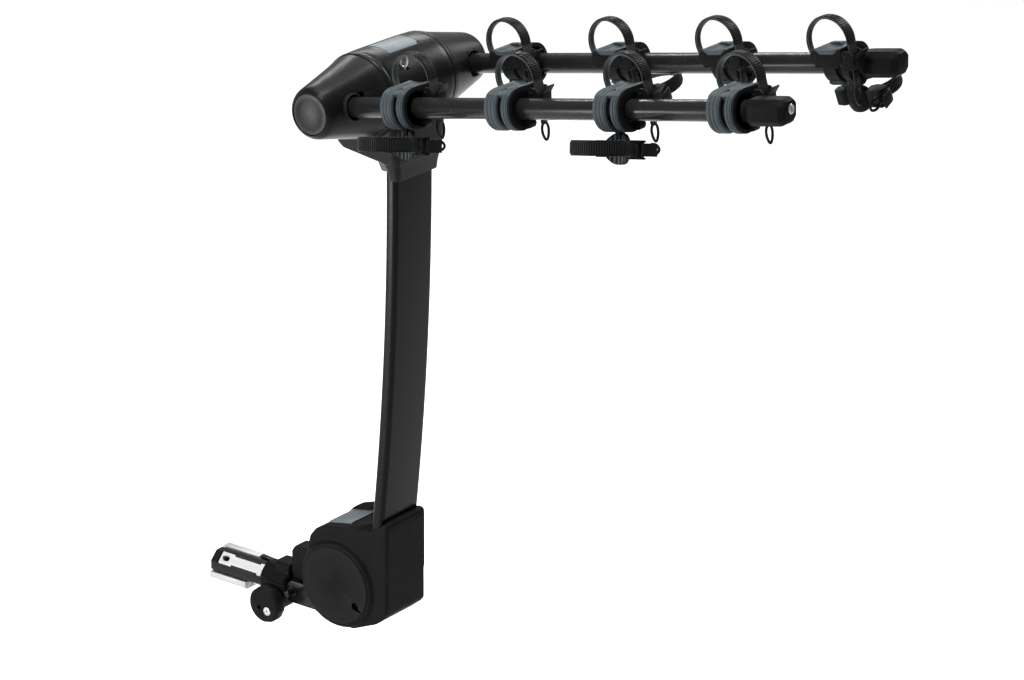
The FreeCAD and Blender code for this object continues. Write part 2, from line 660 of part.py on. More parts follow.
def placed(shape, frame, right):
    result = shape.copy()
    result.Placement = frame.multiply(result.Placement)
    return mirrored(result) if right else result


def arm_axis(start, end, radius):
    cylinder = rod(radius, V(0, start, 0), V(0, end, 0))
    cylinder.Placement = arm_frame(0).multiply(cylinder.Placement)
    return cylinder


def make_arm():
    tube = arm_axis(0, ARM_LENGTH - CAP_LENGTH + 30, ARM_R)
    tube = tube.cut(arm_axis(20, ARM_LENGTH, ARM_R - ARM_WALL))
    return one_solid(tube.cut(rod(SHAFT_R, V(-200, HEAD_Y, HEAD_Z), V(0, HEAD_Y, HEAD_Z))))


def make_cone():
    outer = [(-HEAD_SEAM_X - 0.5, 17), (-HEAD_SEAM_X - 0.5, CONE_SEAM_R), (-CONE_END_X, CONE_END_R),
             (-HEAD_END_X + 4, 34.5), (-HEAD_END_X, END_DISC_R), (-HEAD_END_X, 0), (-SHAFT_HALF, 0),
             (-SHAFT_HALF, 17)]
    inner = [(-HEAD_SEAM_X - 4, 17), (-HEAD_SEAM_X - 4, CONE_SEAM_R - 4), (-CONE_END_X + 4, CONE_END_R - 4),
             (-CONE_END_X + 4, 22), (-SHAFT_HALF + 2, 22), (-SHAFT_HALF + 2, 17)]
    cone = revolve_x(outer, HEAD_Y, HEAD_Z).cut(revolve_x(inner, HEAD_Y, HEAD_Z))
    cone = cone.cut(rod(SHAFT_R + 0.02, V(-SHAFT_HALF, HEAD_Y, HEAD_Z), V(0, HEAD_Y, HEAD_Z)))
    return one_solid(cone.cut(arm_axis(0, 90, ARM_R + 1.0)))


def make_shaft():
    return ring(SHAFT_R, 11, V(-SHAFT_HALF, HEAD_Y, HEAD_Z), V(SHAFT_HALF, HEAD_Y, HEAD_Z))


def make_cap(with_lock):
    """The arm's end cap in local coordinates: a chamfered block that is plugged into the tube."""
    half = CAP_HALF
    cut = 6.0
    start = ARM_LENGTH - CAP_LENGTH
    section = [(-half + cut, half), (half - cut, half), (half, half - cut), (half, -half + cut),
               (half - cut, -half), (-half + cut, -half), (-half, -half + cut), (-half, half - cut)]
    body = prism_y(section, start, ARM_LENGTH)
    nose = [e for e in body.Edges if abs(e.CenterOfMass.y - ARM_LENGTH) < 0.1]
    body = body.makeChamfer(4, nose)
    socket = rod(ARM_R, V(0, start - 1, 0), V(0, start + 30, 0))
    body = body.cut(socket)
    if with_lock:
        body = body.cut(rod(CAP_LOCK_R + FIT, V(0, ARM_LENGTH - 16, 3), V(0, ARM_LENGTH + 1, 3)))
    return body


def make_cap_lock():
    barrel = rod(CAP_LOCK_R, V(0, ARM_LENGTH - 15.5, 3), V(0, ARM_LENGTH + 0.8, 3))
    return barrel.cut(box(-0.7, 0.7, ARM_LENGTH - 5, ARM_LENGTH + 2, -0.5, 6.5))


# ---- cradles, in the arm's local frame: x outboard, y to the tip, z up ----------------------------
def cradle_lever_pin(radius):
    x0 = STRAP_IN - LEVER_HALF - 1.2
    x1 = STRAP_IN + LEVER_HALF + 1.2
    return rod(radius, V(x0, LEVER_PIN_Y, LEVER_PIN_Z), V(x1, LEVER_PIN_Y, LEVER_PIN_Z))


def make_cradle_body():
    front = rod(CRADLE_R, V(0, CRADLE_FRONT, 0), V(0, CRADLE_SLOT_A, 0))
    back = rod(CRADLE_R, V(0, CRADLE_SLOT_B, 0), V(0, CRADLE_BACK, 0))
    saddle = box(-42, 30, CRADLE_FRONT, CRADLE_BACK, 8, 22)
    saddle = saddle.cut(box(-90, 90, CRADLE_SLOT_A, CRADLE_SLOT_B, -40, SLEEVE_R + 0.2))
    buckle = box(STRAP_IN - 11, STRAP_IN + 10, CRADLE_BACK - 1, BUCKLE_BACK, 2, 21)
    body = front.fuse(back).fuse(saddle).fuse(buckle)
    for side in (-1, 1):
        x0, x1 = sorted((STRAP_IN + side * (LEVER_HALF + GAP), STRAP_IN + side * (LEVER_HALF + 1.3)))
        body = body.fuse(box(x0, x1, BUCKLE_BACK - 6, LEVER_PIN_Y + 2.5, 11, 20))
    body = body.fuse(cradle_lever_pin(LEVER_PIN_R))
    hold = rod(SLEEVE_R, V(0, CRADLE_SLOT_A, 0), V(0, CRADLE_SLOT_B, 0))
    return one_solid(body.cut(hold).cut(rod(ARM_R, V(0, -60, 0), V(0, 60, 0))))


def make_cradle_pad():
    """The elastomer saddle with its two bands, which wrap the arm's outboard side."""
    top = box(-40, 31, CRADLE_FRONT, CRADLE_BACK - 2, 22, 29)
    top = top.cut(rod(34, V(-90, 1, 57.5), V(90, 1, 57.5)))
    bands = []
    for y0, y1 in ((CRADLE_FRONT, CRADLE_SLOT_A), (CRADLE_SLOT_B, CRADLE_BACK - 3)):
        band = ring(28, CRADLE_R, V(0, y0, 0), V(0, y1, 0))
        outer_half = box(2, 60, y0, y1, -60, 60)
        bands.append(band.common(outer_half))
    block = box(-42, 30, CRADLE_FRONT, CRADLE_BACK, 8, 22)
    pad = top
    for band in bands:
        pad = pad.fuse(band.cut(block))
    sides = box(30.01, 33, CRADLE_FRONT, CRADLE_SLOT_A, 0, 29).fuse(
        box(30.01, 33, CRADLE_SLOT_B, CRADLE_BACK - 3, 0, 29))
    sides = sides.fuse(box(25.5, 30.5, CRADLE_FRONT, CRADLE_SLOT_A, 0, 7.99))
    sides = sides.fuse(box(25.5, 30.5, CRADLE_SLOT_B, CRADLE_BACK - 3, 0, 7.99))
    return one_solid(pad.fuse(sides).cut(make_cradle_body()))


def arc_band(cx, cz, radius, thick, start, end, x0, x1):
    """A band of the given thickness bent about an axis along local x, in the local y-z plane."""
    points = []
    for r, a, b in ((radius, start, end), (radius - thick, end, start)):
        for angle in (a, (a + b) / 2, b):
            t = math.radians(angle)
            points.append(V(x0, cx + r * math.cos(t), cz + r * math.sin(t)))
    outer = Part.Arc(points[0], points[1], points[2]).toShape()
    step = Part.LineSegment(points[2], points[3]).toShape()
    inner = Part.Arc(points[3], points[4], points[5]).toShape()
    close = Part.LineSegment(points[5], points[0]).toShape()
    return Part.Face(Part.Wire([outer, step, inner, close])).extrude(V(x1 - x0, 0, 0))


def make_cradle_strap():
    x0 = STRAP_IN - STRAP_WIDTH / 2
    x1 = STRAP_IN + STRAP_WIDTH / 2
    loop = arc_band(STRAP_Y, STRAP_Z, STRAP_R, STRAP_THICK, -4, 223, x0, x1)
    tail_outline = [(31.5, 34), (33.9, 34), (34.6, 22.5), (34.6, -49), (32.4, -49), (32.4, 22.5)]
    tail = prism_x(tail_outline, x0 + 4, x1 - 4)
    anchor = prism_x([(CRADLE_FRONT - 5.6, 21.8), (CRADLE_FRONT - 3.0, 21.8), (CRADLE_FRONT - 0.01, 16),
                      (CRADLE_FRONT - 0.01, 9), (CRADLE_FRONT - 5.6, 9)], x0, x1)
    strap = loop.fuse(tail).fuse(anchor)
    return one_solid(strap)


def make_cradle_lever():
    """The ratchet buckle's release lever."""
    outline = [(38.6, 16), (40.6, 21), (43.6, 19), (45.6, -2), (42.4, -3), (40.4, 8), (38.6, 11)]
    lever = prism_x(outline, STRAP_IN - LEVER_HALF, STRAP_IN + LEVER_HALF)
    return lever.cut(cradle_lever_pin(LEVER_PIN_R + FIT))


# ---- anti-sway cages, in the arm's local frame while hanging straight down ------------------------
def cage_lever_pin(radius):
    mid = -CAGE_STRAP_MID
    return rod(radius, V(CAGE_PIN_X, CAGE_PIN_Y, mid - 11.5), V(CAGE_PIN_X, CAGE_PIN_Y, mid + 11.5))


def make_cage_frame():
    centre = 4.0
    low = CRADLE_SLOT_A + 0.4
    high = CRADLE_SLOT_B - 0.4
    collar = ring(CAGE_RING_R, ARM_R + GAP, V(0, low, 0), V(0, high, 0))
    stem = box(-8, 6, low, high, -CAGE_PAD_TOP - 6, -8)
    stem = stem.cut(rod(ARM_R + GAP, V(0, low - 1, 0), V(0, high + 1, 0)))
    low_end = V(CAGE_PAD_X, centre, -CAGE_PAD_END)
    top_end = V(CAGE_PAD_X, centre, -CAGE_PAD_TOP)
    shell = ring(CAGE_PAD_R, CAGE_PAD_R - 6, low_end, top_end)
    shell = shell.common(box(-40, 3.4, -60, 60, -CAGE_PAD_END, -CAGE_PAD_TOP))
    mid = -CAGE_STRAP_MID
    buckle = box(-3, CAGE_STRAP_ENDS - 0.1, centre + 16, 44, mid - 11.5, mid + 11.5)
    for side in (-1, 1):
        z0, z1 = sorted((mid + side * (LEVER_HALF + GAP), mid + side * 11.5))
        buckle = buckle.fuse(box(CAGE_PIN_X - 2.5, CAGE_PIN_X + 2.5, 40, CAGE_PIN_Y + 2.5, z0, z1))
    buckle = buckle.fuse(cage_lever_pin(LEVER_PIN_R))
    buckle = buckle.cut(rod(CAGE_PAD_R - 6, V(CAGE_PAD_X, centre, -100), V(CAGE_PAD_X, centre, 0)))
    return one_solid(collar.fuse(stem).fuse(shell).fuse(buckle))


def make_cage_strap():
    centre = 4.0
    low = -CAGE_STRAP_MID - STRAP_WIDTH / 2
    high = -CAGE_STRAP_MID + STRAP_WIDTH / 2
    ends = (V(CAGE_STRAP_X, centre, low), V(CAGE_STRAP_X, centre, high))
    loop = ring(CAGE_STRAP_R, CAGE_STRAP_R - STRAP_THICK, ends[0], ends[1])
    loop = loop.common(box(CAGE_STRAP_ENDS, 90, -60, 60, low, high))
    lead = box(-2, CAGE_STRAP_ENDS + 0.1, -26.8, -24.2, low, high)
    foot = box(-2, 8, -25, -11, low + 2, high - 2)
    foot = foot.cut(rod(CAGE_PAD_R, V(CAGE_PAD_X, centre, -100), V(CAGE_PAD_X, centre, 0)))
    return one_solid(loop.fuse(lead).fuse(foot))


def make_cage_lever():
    mid = -CAGE_STRAP_MID
    outline = [(-1.5, 44.4), (10.5, 44.4), (12, 46), (12, 48.6), (3, 52), (-13, 52), (-13, 49.5), (-1.5, 48)]
    corners = [V(x, y, mid - LEVER_HALF) for x, y in outline]
    lever = Part.Face(Part.makePolygon(corners + corners[:1])).extrude(V(0, 0, 2 * LEVER_HALF))
    return lever.cut(cage_lever_pin(LEVER_PIN_R + FIT))


def cage_frame_at(distance):
    """Swing a hanging cage outboard by its rest angle, then put it at its place on the arm."""
    swing = FreeCAD.Placement(V(0, 0, 0), FreeCAD.Rotation(Y_DIR, -CAGE_TILT))
    return arm_frame(distance).multiply(swing)


# ---- build and write ------------------------------------------------------------------------------
def main():
    os.makedirs("parts", exist_ok=True)
    export("shank_tube", make_shank())
    export("shim_side", make_shim_side())
    export("shim_bottom", make_shim_bottom())
    export("shim_screws", make_shim_screws())
    export("shim_tether", make_shim_tether())
    export("shank_collar", make_collar())
    export("expander_plate", make_expander())
    export("detent_pin", make_detent_pin())
    export("knob", make_knob())
    export("knob_screw", make_knob_screw())
    export("knob_lock_cylinder", make_knob_lock())
    export("pivot_yoke", make_yoke())
    export("yoke_nose", make_yoke_nose())
    export("yoke_bolts", make_yoke_bolts())
    export("lock_nuts", make_nuts())

    mast_outer = mast_solid(MAST_WIDTH, MAST_THICK, MAST_CORNER, MAST_FOOT_Z, MAST_TOP_Z)
    export("mast_tube", make_mast())
    export("mast_foot", make_mast_foot(mast_outer))
    export("pivot_bushings", make_pivot_bushings())
    export("base_housing", make_base_housing(mast_outer))
    export("base_caps", make_base_caps())
    export("cover_screws", make_cover_screws())
    export("tilt_lever", make_tilt_lever())
    export("lever_pins", make_lever_pins())

    bracket = make_head_bracket(mast_outer)
    export("head_bracket", bracket)
    export("head_collar", make_head_collar(mast_outer))
    export("head_cover_front", make_head_cover(1, mast_outer, bracket))
    export("head_cover_rear", make_head_cover(-1, mast_outer, bracket))
    export("arm_lever", make_arm_lever())
    export("cable_eyelet", make_eyelet())

    arm = make_arm()
    cone = make_cone()
    export("cross_shaft", make_shaft())
    export("arm_left", arm)
    export("arm_right", mirrored(arm))
    export("cone_left", cone)
    export("cone_right", mirrored(cone))
    export("arm_cap_left", placed(make_cap(True), arm_frame(0), False))
    export("arm_cap_right", placed(make_cap(False), arm_frame(0), True))
    export("cap_lock_cylinder", placed(make_cap_lock(), arm_frame(0), False))

    body = make_cradle_body()
    pad = make_cradle_pad()
    strap = make_cradle_strap()
    lever = make_cradle_lever()
    bodies = []
    pads = []
    straps = []
    for side, right in (("left", False), ("right", True)):
        for i in range(CRADLE_COUNT):
            frame = arm_frame(CRADLE_FIRST + i * CRADLE_PITCH)
            bodies.append(placed(body, frame, right))
            pads.append(placed(pad, frame, right))
            straps.append(placed(strap, frame, right))
            export("buckle_lever_%s_%d" % (side, i + 1), placed(lever, frame, right))
    export("cradle_bodies", Part.Compound(bodies))
    export("cradle_pads", Part.Compound(pads))
    export("cradle_straps", Part.Compound(straps))

    frame_shape = make_cage_frame()
    cage_strap = make_cage_strap()
    cage_lever = make_cage_lever()
    for side, right, stations in (("left", False, (1, 3)), ("right", True, (2, 4))):
        for station in stations:
            frame = cage_frame_at(CRADLE_FIRST + (station - 1) * CRADLE_PITCH)
            name = "%s_%d" % (side, station)
            export("cage_frame_" + name, placed(frame_shape, frame, right))
            export("cage_strap_" + name, placed(cage_strap, frame, right))
            export("cage_lever_" + name, placed(cage_lever, frame, right))


main()
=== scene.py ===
import json
import math

import bmesh
import bpy
from mathutils import Matrix, Vector


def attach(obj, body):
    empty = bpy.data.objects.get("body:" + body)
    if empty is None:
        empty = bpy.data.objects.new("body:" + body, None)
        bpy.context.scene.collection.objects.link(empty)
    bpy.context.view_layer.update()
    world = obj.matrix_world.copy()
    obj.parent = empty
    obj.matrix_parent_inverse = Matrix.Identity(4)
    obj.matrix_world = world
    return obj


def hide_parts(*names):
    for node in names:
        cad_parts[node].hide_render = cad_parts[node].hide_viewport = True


# A hitch-mounted bicycle rack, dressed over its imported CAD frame.
# Outlines below are in millimetres in the CAD frame; MM turns them into metres.
# The shank lies along Y with its tip at +Y, the arms reach to -Y, and X is right seen from behind.
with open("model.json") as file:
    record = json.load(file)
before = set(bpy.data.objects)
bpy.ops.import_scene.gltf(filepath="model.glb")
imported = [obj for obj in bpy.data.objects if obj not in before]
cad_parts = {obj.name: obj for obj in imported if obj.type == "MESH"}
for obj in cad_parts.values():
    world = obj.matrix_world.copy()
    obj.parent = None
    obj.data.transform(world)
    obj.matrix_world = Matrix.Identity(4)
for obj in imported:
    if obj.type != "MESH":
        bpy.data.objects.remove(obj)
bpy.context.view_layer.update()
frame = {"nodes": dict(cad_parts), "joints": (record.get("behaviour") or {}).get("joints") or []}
MM = 0.001
JOINTS = {joint["name"]: joint for joint in frame["joints"]}

# ---- driving dimensions, from the CAD frame where it holds them ----
HEAD_Y, HEAD_Z = (v / MM for v in JOINTS["arms_fold"]["pos_m"][1:])
PIVOT_Y, PIVOT_Z = (v / MM for v in JOINTS["mast_tilt"]["pos_m"][1:])
KNOB_Y, KNOB_Z = (v / MM for v in JOINTS["knob_turn"]["pos_m"][1:])
ARM_X = 132.15
ARM_R = 14.3
ARM_PITCH = math.radians(10.14)
ARM_LENGTH = 757.0
CAP_LENGTH = 62.0
CAP_HALF = 17.5
CRADLE_FIRST = 132.0
CRADLE_PITCH = 177.8
MAST_WIDTH = 84.0
MAST_THICK = 20.0
MAST_CORNER = 6.0
MAST_RADIUS = 4868.0
MAST_REAR_Y = -364.4
MAST_UPRIGHT_Z = 732.0
BASE_HALF = 45.0
BASE_CAP_X = 50.0
EYELET_PLACE = Vector((-30.0, -370.0, 859.0))
YOKE_PLATE = 6.0
LOCK_SLOT = 0.6                      # half width of a key slot

SHANK_HALF = 31.75 / 2
SHANK_REAR_Y = -212.0
SHANK_TIP_Y = 25.0
SHANK_FLAT = 13.5                    # the corner cut that makes the big flat
SHANK_CORNER = 5.0
SHANK_WALL = 4.0
FLAT_DISTANCE = 12.905               # from the shank's axis to the big flat
FLAT_NORMAL = Vector((-1, 0, 1)).normalized()
FLAT_ACROSS = Vector((1, 0, 1)).normalized()
EXPANDER_TRAVEL = JOINTS["expander_slide"]["range_m"][1] / MM
EXPANDER_FRONT_Y = 8.9
EXPANDER_REAR_Y = -79.0
EXPANDER_HEAD = 9.5                  # half width of the two broad ends
EXPANDER_NECK = 7.0
EXPANDER_NECK_FRONT_Y = -15.0
EXPANDER_NECK_REAR_Y = -66.0
SHIM_REAR_Y = -43.5
SHIM_TIP_Y = 27.4
SHIM_SIDE = 19.05
SHIM_LOW = 12.7

STRAP_X = -28.0
STRAP_HALF = 10.0
STRAP_Y = -0.5
STRAP_Z = 36.0
STRAP_R = 34.5
STRAP_THICK = 2.7
STRAP_END = -6.0                     # degrees, where the loop meets the buckle
STRAP_NARROW = 0.45                  # share of its width that a strap loses at its anchor
TOOTH_DEPTH = 1.1
STRAP_TOOTH = 5.5                    # degrees from tooth to tooth
CAGE_TOOTH = 4.7

CAGE_TILT = math.radians(15.0)
CAGES = ("left_1", "left_3", "right_2", "right_4")
CAGE_Y = 4.0
CAGE_MID = -50.0
CAGE_PAD_X = 20.0
CAGE_STRAP_X = 39.0
CAGE_STRAP_R = 40.0

FLOOR_Z = -420.0
FLOOR_REACH = 14000.0
CAMERA_PLACE = (-3.9476, -3.52566, 2.34219)
CAMERA_YAW = 52.84
CAMERA_PITCH = 20.61
CAMERA_LENS = 134.33


# ---- mesh tools ----
def skin(loops, closed=False, caps=True):
    """Join a run of equal loops of points into one surface."""
    count = len(loops[0])
    rows = len(loops)
    points = [Vector(p) for loop in loops for p in loop]
    faces = []
    for i in range(rows if closed else rows - 1):
        a = i * count
        b = ((i + 1) % rows) * count
        for k in range(count):
            m = (k + 1) % count
            faces.append((a + k, a + m, b + m, b + k))
    if caps and not closed:
        faces.append(tuple(reversed(range(count))))
        faces.append(tuple((rows - 1) * count + k for k in range(count)))
    return points, faces


def join(*shapes):
    points = []
    faces = []
    for shape_points, shape_faces in shapes:
        start = len(points)
        points.extend(shape_points)
        faces.extend(tuple(start + i for i in face) for face in shape_faces)
    return points, faces


def rounded(outline, radius, steps=4):
    """Round every corner of a flat outline, as far as its shorter side allows."""
    result = []
    count = len(outline)
    for i in range(count):
        here = Vector(outline[i])
        before = Vector(outline[i - 1]) - here
        after = Vector(outline[(i + 1) % count]) - here
        angle = before.angle(after)
        if angle > math.radians(176) or radius <= 0:
            result.append(tuple(here))
            continue
        reach = min(radius / math.tan(angle / 2), 0.45 * before.length, 0.45 * after.length)
        start = here + before.normalized() * reach
        end = here + after.normalized() * reach
        for k in range(steps + 1):
            t = k / steps
            point = start * (1 - t) ** 2 + here * (2 * t * (1 - t)) + end * t ** 2
            result.append(tuple(point))
    return result


def prism_x(outline, x0, x1):
    return skin([[(x, y, z) for y, z in outline] for x in (x0, x1)])


def prism_y(outline, y0, y1):
    return skin([[(x, y, z) for x, z in outline] for y in (y0, y1)])


def prism_z(outline, z0, z1):
    return skin([[(x, y, z) for x, y in outline] for z in (z0, z1)])


def block(x0, x1, y0, y1, z0, z1):
    return prism_z([(x0, y0), (x1, y0), (x1, y1), (x0, y1)], z0, z1)


def circle(radius, steps, u=0.0, v=0.0):
    turn = 2 * math.pi / steps
    return [(u + radius * math.cos(k * turn), v + radius * math.sin(k * turn)) for k in range(steps)]


def revolve_x(profile, y, z, steps=96, wobble=None):
    """Turn (x, r) points about the X axis through (y, z); wobble(x, angle) scales the radius."""
    loops = []
    for x, r in profile:
        loop = []
        for k in range(steps):
            a = 2 * math.pi * k / steps
            s = wobble(x, a) if wobble else 1.0
            loop.append((x, y + r * s * math.cos(a), z + r * s * math.sin(a)))
        loops.append(loop)
    return skin(loops)


def revolve_y(profile, x, z, steps=64):
    return skin([[(u, y, v) for u, v in circle(r, steps, x, z)] for y, r in profile])


def oval(width, depth, radius, steps=5):
    """A rounded rectangle's outline, centred."""
    w = width / 2
    d = depth / 2
    return rounded([(-w, -d), (w, -d), (w, d), (-w, d)], radius * 1.2, steps)


def moved(shape, matrix):
    points, faces = shape
    return [matrix @ Vector(p) for p in points], faces


def mirrored(shape):
    points, faces = shape
    return [Vector((-p[0], p[1], p[2])) for p in points], faces


def mesh_of(name, shape):
    """A welded mesh in metres from a shape in millimetres."""
    points, faces = shape
    mesh = bpy.data.meshes.new(name)
    mesh.from_pydata([Vector(p) * MM for p in points], [], faces)
    bm = bmesh.new()
    bm.from_mesh(mesh)
    bmesh.ops.remove_doubles(bm, verts=bm.verts, dist=1e-6)
    bmesh.ops.recalc_face_normals(bm, faces=bm.faces)
    bm.to_mesh(mesh)
    bm.free()
    return mesh


def new_object(name, mesh):
    obj = bpy.data.objects.new(name, mesh)
    bpy.context.scene.collection.objects.link(obj)
    return obj


def make(name, shape):
    return new_object(name, mesh_of(name, shape))


def bake(obj):
    """Turn the object's modifiers into its mesh."""
    bpy.context.view_layer.update()
    graph = bpy.context.evaluated_depsgraph_get()
    mesh = bpy.data.meshes.new_from_object(obj.evaluated_get(graph))
    obj.modifiers.clear()
    obj.data = mesh
    return obj


def bevel(obj, width, segments=2, angle=32.0):
    mod = obj.modifiers.new("bevel", "BEVEL")
    mod.width = width * MM
    mod.segments = segments
    mod.limit_method = "ANGLE"
    mod.angle_limit = math.radians(angle)
    mod.use_clamp_overlap = True
    return bake(obj)


def cut(obj, shape):
    """Take a closed shape away from an object."""
    tool = make("tool", shape)
    mod = obj.modifiers.new("boolean", "BOOLEAN")
    mod.object = tool
    mod.operation = "DIFFERENCE"
    mod.solver = "EXACT"
    bake(obj)
    bpy.data.objects.remove(tool)
    return obj


def melt(obj, voxel, rounds):
    """Blend an assembly of solids into one moulded skin with soft fillets."""
    mod = obj.modifiers.new("remesh", "REMESH")
    mod.mode = "VOXEL"
    mod.voxel_size = voxel * MM
    bake(obj)
    mod = obj.modifiers.new("smooth", "SMOOTH")
    mod.factor = 0.5
    mod.iterations = rounds
    return bake(obj)


def shade(obj, angle=34.0):
    obj.data.shade_smooth()
    obj.data.set_sharp_from_angle(angle=math.radians(angle))
    return obj


# ---- materials ----
def material(name, colour, roughness, metallic=0.0, grain=0.0, grain_size=0.6, mottle=0.12, wear=0.0,
             coat=0.0, streak=None, specular=0.5):
    """A procedural finish: colour mottle, fine grain, uneven gloss and pale edges."""
    mat = bpy.data.materials.new(name)
    mat.use_nodes = True
    nodes = mat.node_tree.nodes
    links = mat.node_tree.links
    shader = nodes["Principled BSDF"]
    shader.inputs["Metallic"].default_value = metallic
    shader.inputs["Coat Weight"].default_value = coat
    shader.inputs["Coat Roughness"].default_value = 0.25
    shader.inputs["Specular IOR Level"].default_value = specular
    place = nodes.new("ShaderNodeTexCoord")
    mapping = nodes.new("ShaderNodeMapping")
    if streak:
        mapping.inputs["Scale"].default_value = streak
    links.new(place.outputs["Object"], mapping.inputs["Vector"])

    def noise(scale, detail, rough):
        node = nodes.new("ShaderNodeTexNoise")
        node.inputs["Scale"].default_value = scale
        node.inputs["Detail"].default_value = detail
        node.inputs["Roughness"].default_value = rough
        links.new(mapping.outputs["Vector"], node.inputs["Vector"])
        return node

    def ramp(source, low, high, a, b):
        node = nodes.new("ShaderNodeMapRange")
        node.inputs["From Min"].default_value = low
        node.inputs["From Max"].default_value = high
        node.inputs["To Min"].default_value = a
        node.inputs["To Max"].default_value = b
        links.new(source, node.inputs["Value"])
        return node.outputs["Result"]

    def mix(kind, factor, a, b):
        node = nodes.new("ShaderNodeMix")
        node.data_type = "RGBA"
        node.blend_type = kind
        links.new(factor, node.inputs["Factor"])
        for socket, value in ((node.inputs[6], a), (node.inputs[7], b)):
            if isinstance(value, tuple):
                socket.default_value = value
            else:
                links.new(value, socket)
        return node.outputs[2]

    dark = tuple(c * (1 - mottle) for c in colour) + (1.0,)
    light = tuple(min(1.0, c * (1 + mottle)) for c in colour) + (1.0,)
    cloud = noise(45.0, 5.0, 0.6)
    tone = mix("MIX", ramp(cloud.outputs["Fac"], 0.35, 0.65, 0.0, 1.0), dark, light)
    fine = noise(1000.0 / grain_size, 3.0, 0.55)
    speck = ramp(fine.outputs["Fac"], 0.3, 0.75, 0.0, 0.35)
    brighter = tuple(min(1.0, c * 1.35) for c in colour) + (1.0,)
    tone = mix("MIX", speck, tone, brighter)
    if wear:
        shape = nodes.new("ShaderNodeNewGeometry")
        edge = ramp(shape.outputs["Pointiness"], 0.52, 0.62, 0.0, wear)
        rub = tuple(min(1.0, c * 2.2 + 0.02) for c in colour) + (1.0,)
        tone = mix("MIX", edge, tone, rub)
    links.new(tone, shader.inputs["Base Color"])
    uneven = noise(70.0, 6.0, 0.65)
    gloss = ramp(uneven.outputs["Fac"], 0.3, 0.7, roughness * 0.86, min(1.0, roughness * 1.14))
    links.new(gloss, shader.inputs["Roughness"])
    bump = nodes.new("ShaderNodeBump")
    bump.inputs["Strength"].default_value = min(1.0, grain)
    bump.inputs["Distance"].default_value = 0.00012
    links.new(fine.outputs["Fac"], bump.inputs["Height"])
    links.new(bump.outputs["Normal"], shader.inputs["Normal"])
    return mat


POWDER = material("powder_black", (0.0024, 0.0024, 0.0026), 0.25, grain=0.28, grain_size=1.1,
                  wear=0.35, coat=0.04, specular=0.07)
MAST_BLACK = material("mast_black", (0.0018, 0.0018, 0.0020), 0.24, grain=0.22, grain_size=1.0,
                      wear=0.35, coat=0.02, specular=0.05)
PLASTIC = material("moulded_black", (0.0032, 0.0032, 0.0033), 0.50, grain=0.5, grain_size=0.55,
                   wear=0.5, specular=0.025)
SATIN = material("satin_black", (0.0028, 0.0028, 0.0030), 0.32, grain=0.35, wear=0.5, specular=0.07)
GREY = material("moulded_grey", (0.036, 0.048, 0.055), 0.44, grain=0.4, wear=0.3, specular=0.3)
SOFT = material("soft_grey", (0.020, 0.027, 0.031), 0.60, grain=0.6, grain_size=0.5,
                wear=0.35, specular=0.15)
RUBBER = material("strap_black", (0.0030, 0.0030, 0.0032), 0.40, grain=0.4, grain_size=0.5,
                  wear=0.9, specular=0.06)
ALLOY = material("bright_alloy", (0.36, 0.365, 0.37), 0.40, metallic=0.30, grain=0.3, grain_size=1.2,
                 mottle=0.04, streak=(1.0, 0.05, 1.0))
# painted shade: a darker copy of the bright alloy, so the shims read shaded against the white
SHADED_SHIM_ALLOY = material("shim_alloy_painted_shade", (0.24, 0.243, 0.247), 0.46, metallic=0.30, grain=0.3,
                      grain_size=1.2, mottle=0.04, streak=(1.0, 0.05, 1.0))
ZINC = material("zinc_plate", (0.34, 0.34, 0.34), 0.34, metallic=1.0, grain=0.3, mottle=0.08, wear=0.2)
LOCK = material("lock_bright", (0.30, 0.305, 0.31), 0.27, metallic=1.0, grain=0.2, mottle=0.05)
# painted shadow: a near-black finish for pieces that stand in for the shade deep inside holes
PAINTED_SHADOW = material("deep_shadow", (0.004, 0.004, 0.004), 0.8, grain=0.2)


def finish_piece(obj, mat, body, replaces=(), angle=34.0):
    obj.data.materials.clear()
    obj.data.materials.append(mat)
    shade(obj, angle)
    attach(obj, body)
    if replaces:
        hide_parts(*replaces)
    return obj


def piece(name, shape, mat, body, replaces=(), edge=0.0, segments=2, angle=34.0):
    obj = make(name, shape)
    if edge:
        bevel(obj, edge, segments)
    return finish_piece(obj, mat, body, replaces, angle)


# ---- shank, shims and knob ----
def on_flat(outline, low, high):
    """An outline in (y, across) on the shank's big flat, from low to high off the shank's axis."""
    loops = []
    for level in (low, high):
        loops.append([Vector((0, y, 0)) + FLAT_ACROSS * w + FLAT_NORMAL * level for y, w in outline])
    return skin(loops)


def shank_outline(half, near_top, others):
    h = half
    return [(-h, h - near_top), (-h + near_top, h), (h - others, h), (h, h - others), (h, -h + others),
            (h - others, -h), (-h + others, -h), (-h, -h + others)]


def expander_outline(grow, ahead=0.0):
    """The expander plate's outline, or its recess with room ahead for the plate's travel."""
    head = EXPANDER_HEAD + grow
    neck = EXPANDER_NECK + grow
    front = EXPANDER_FRONT_Y + grow + ahead
    step = EXPANDER_NECK_FRONT_Y - grow
    tail = EXPANDER_NECK_REAR_Y + grow + ahead
    rear = EXPANDER_REAR_Y
    return [(front, -head), (front, head), (step, head), (step, neck), (tail, neck), (tail, head),
            (rear, head), (rear, -head), (tail, -head), (tail, -neck), (step, -neck), (step, -head)]


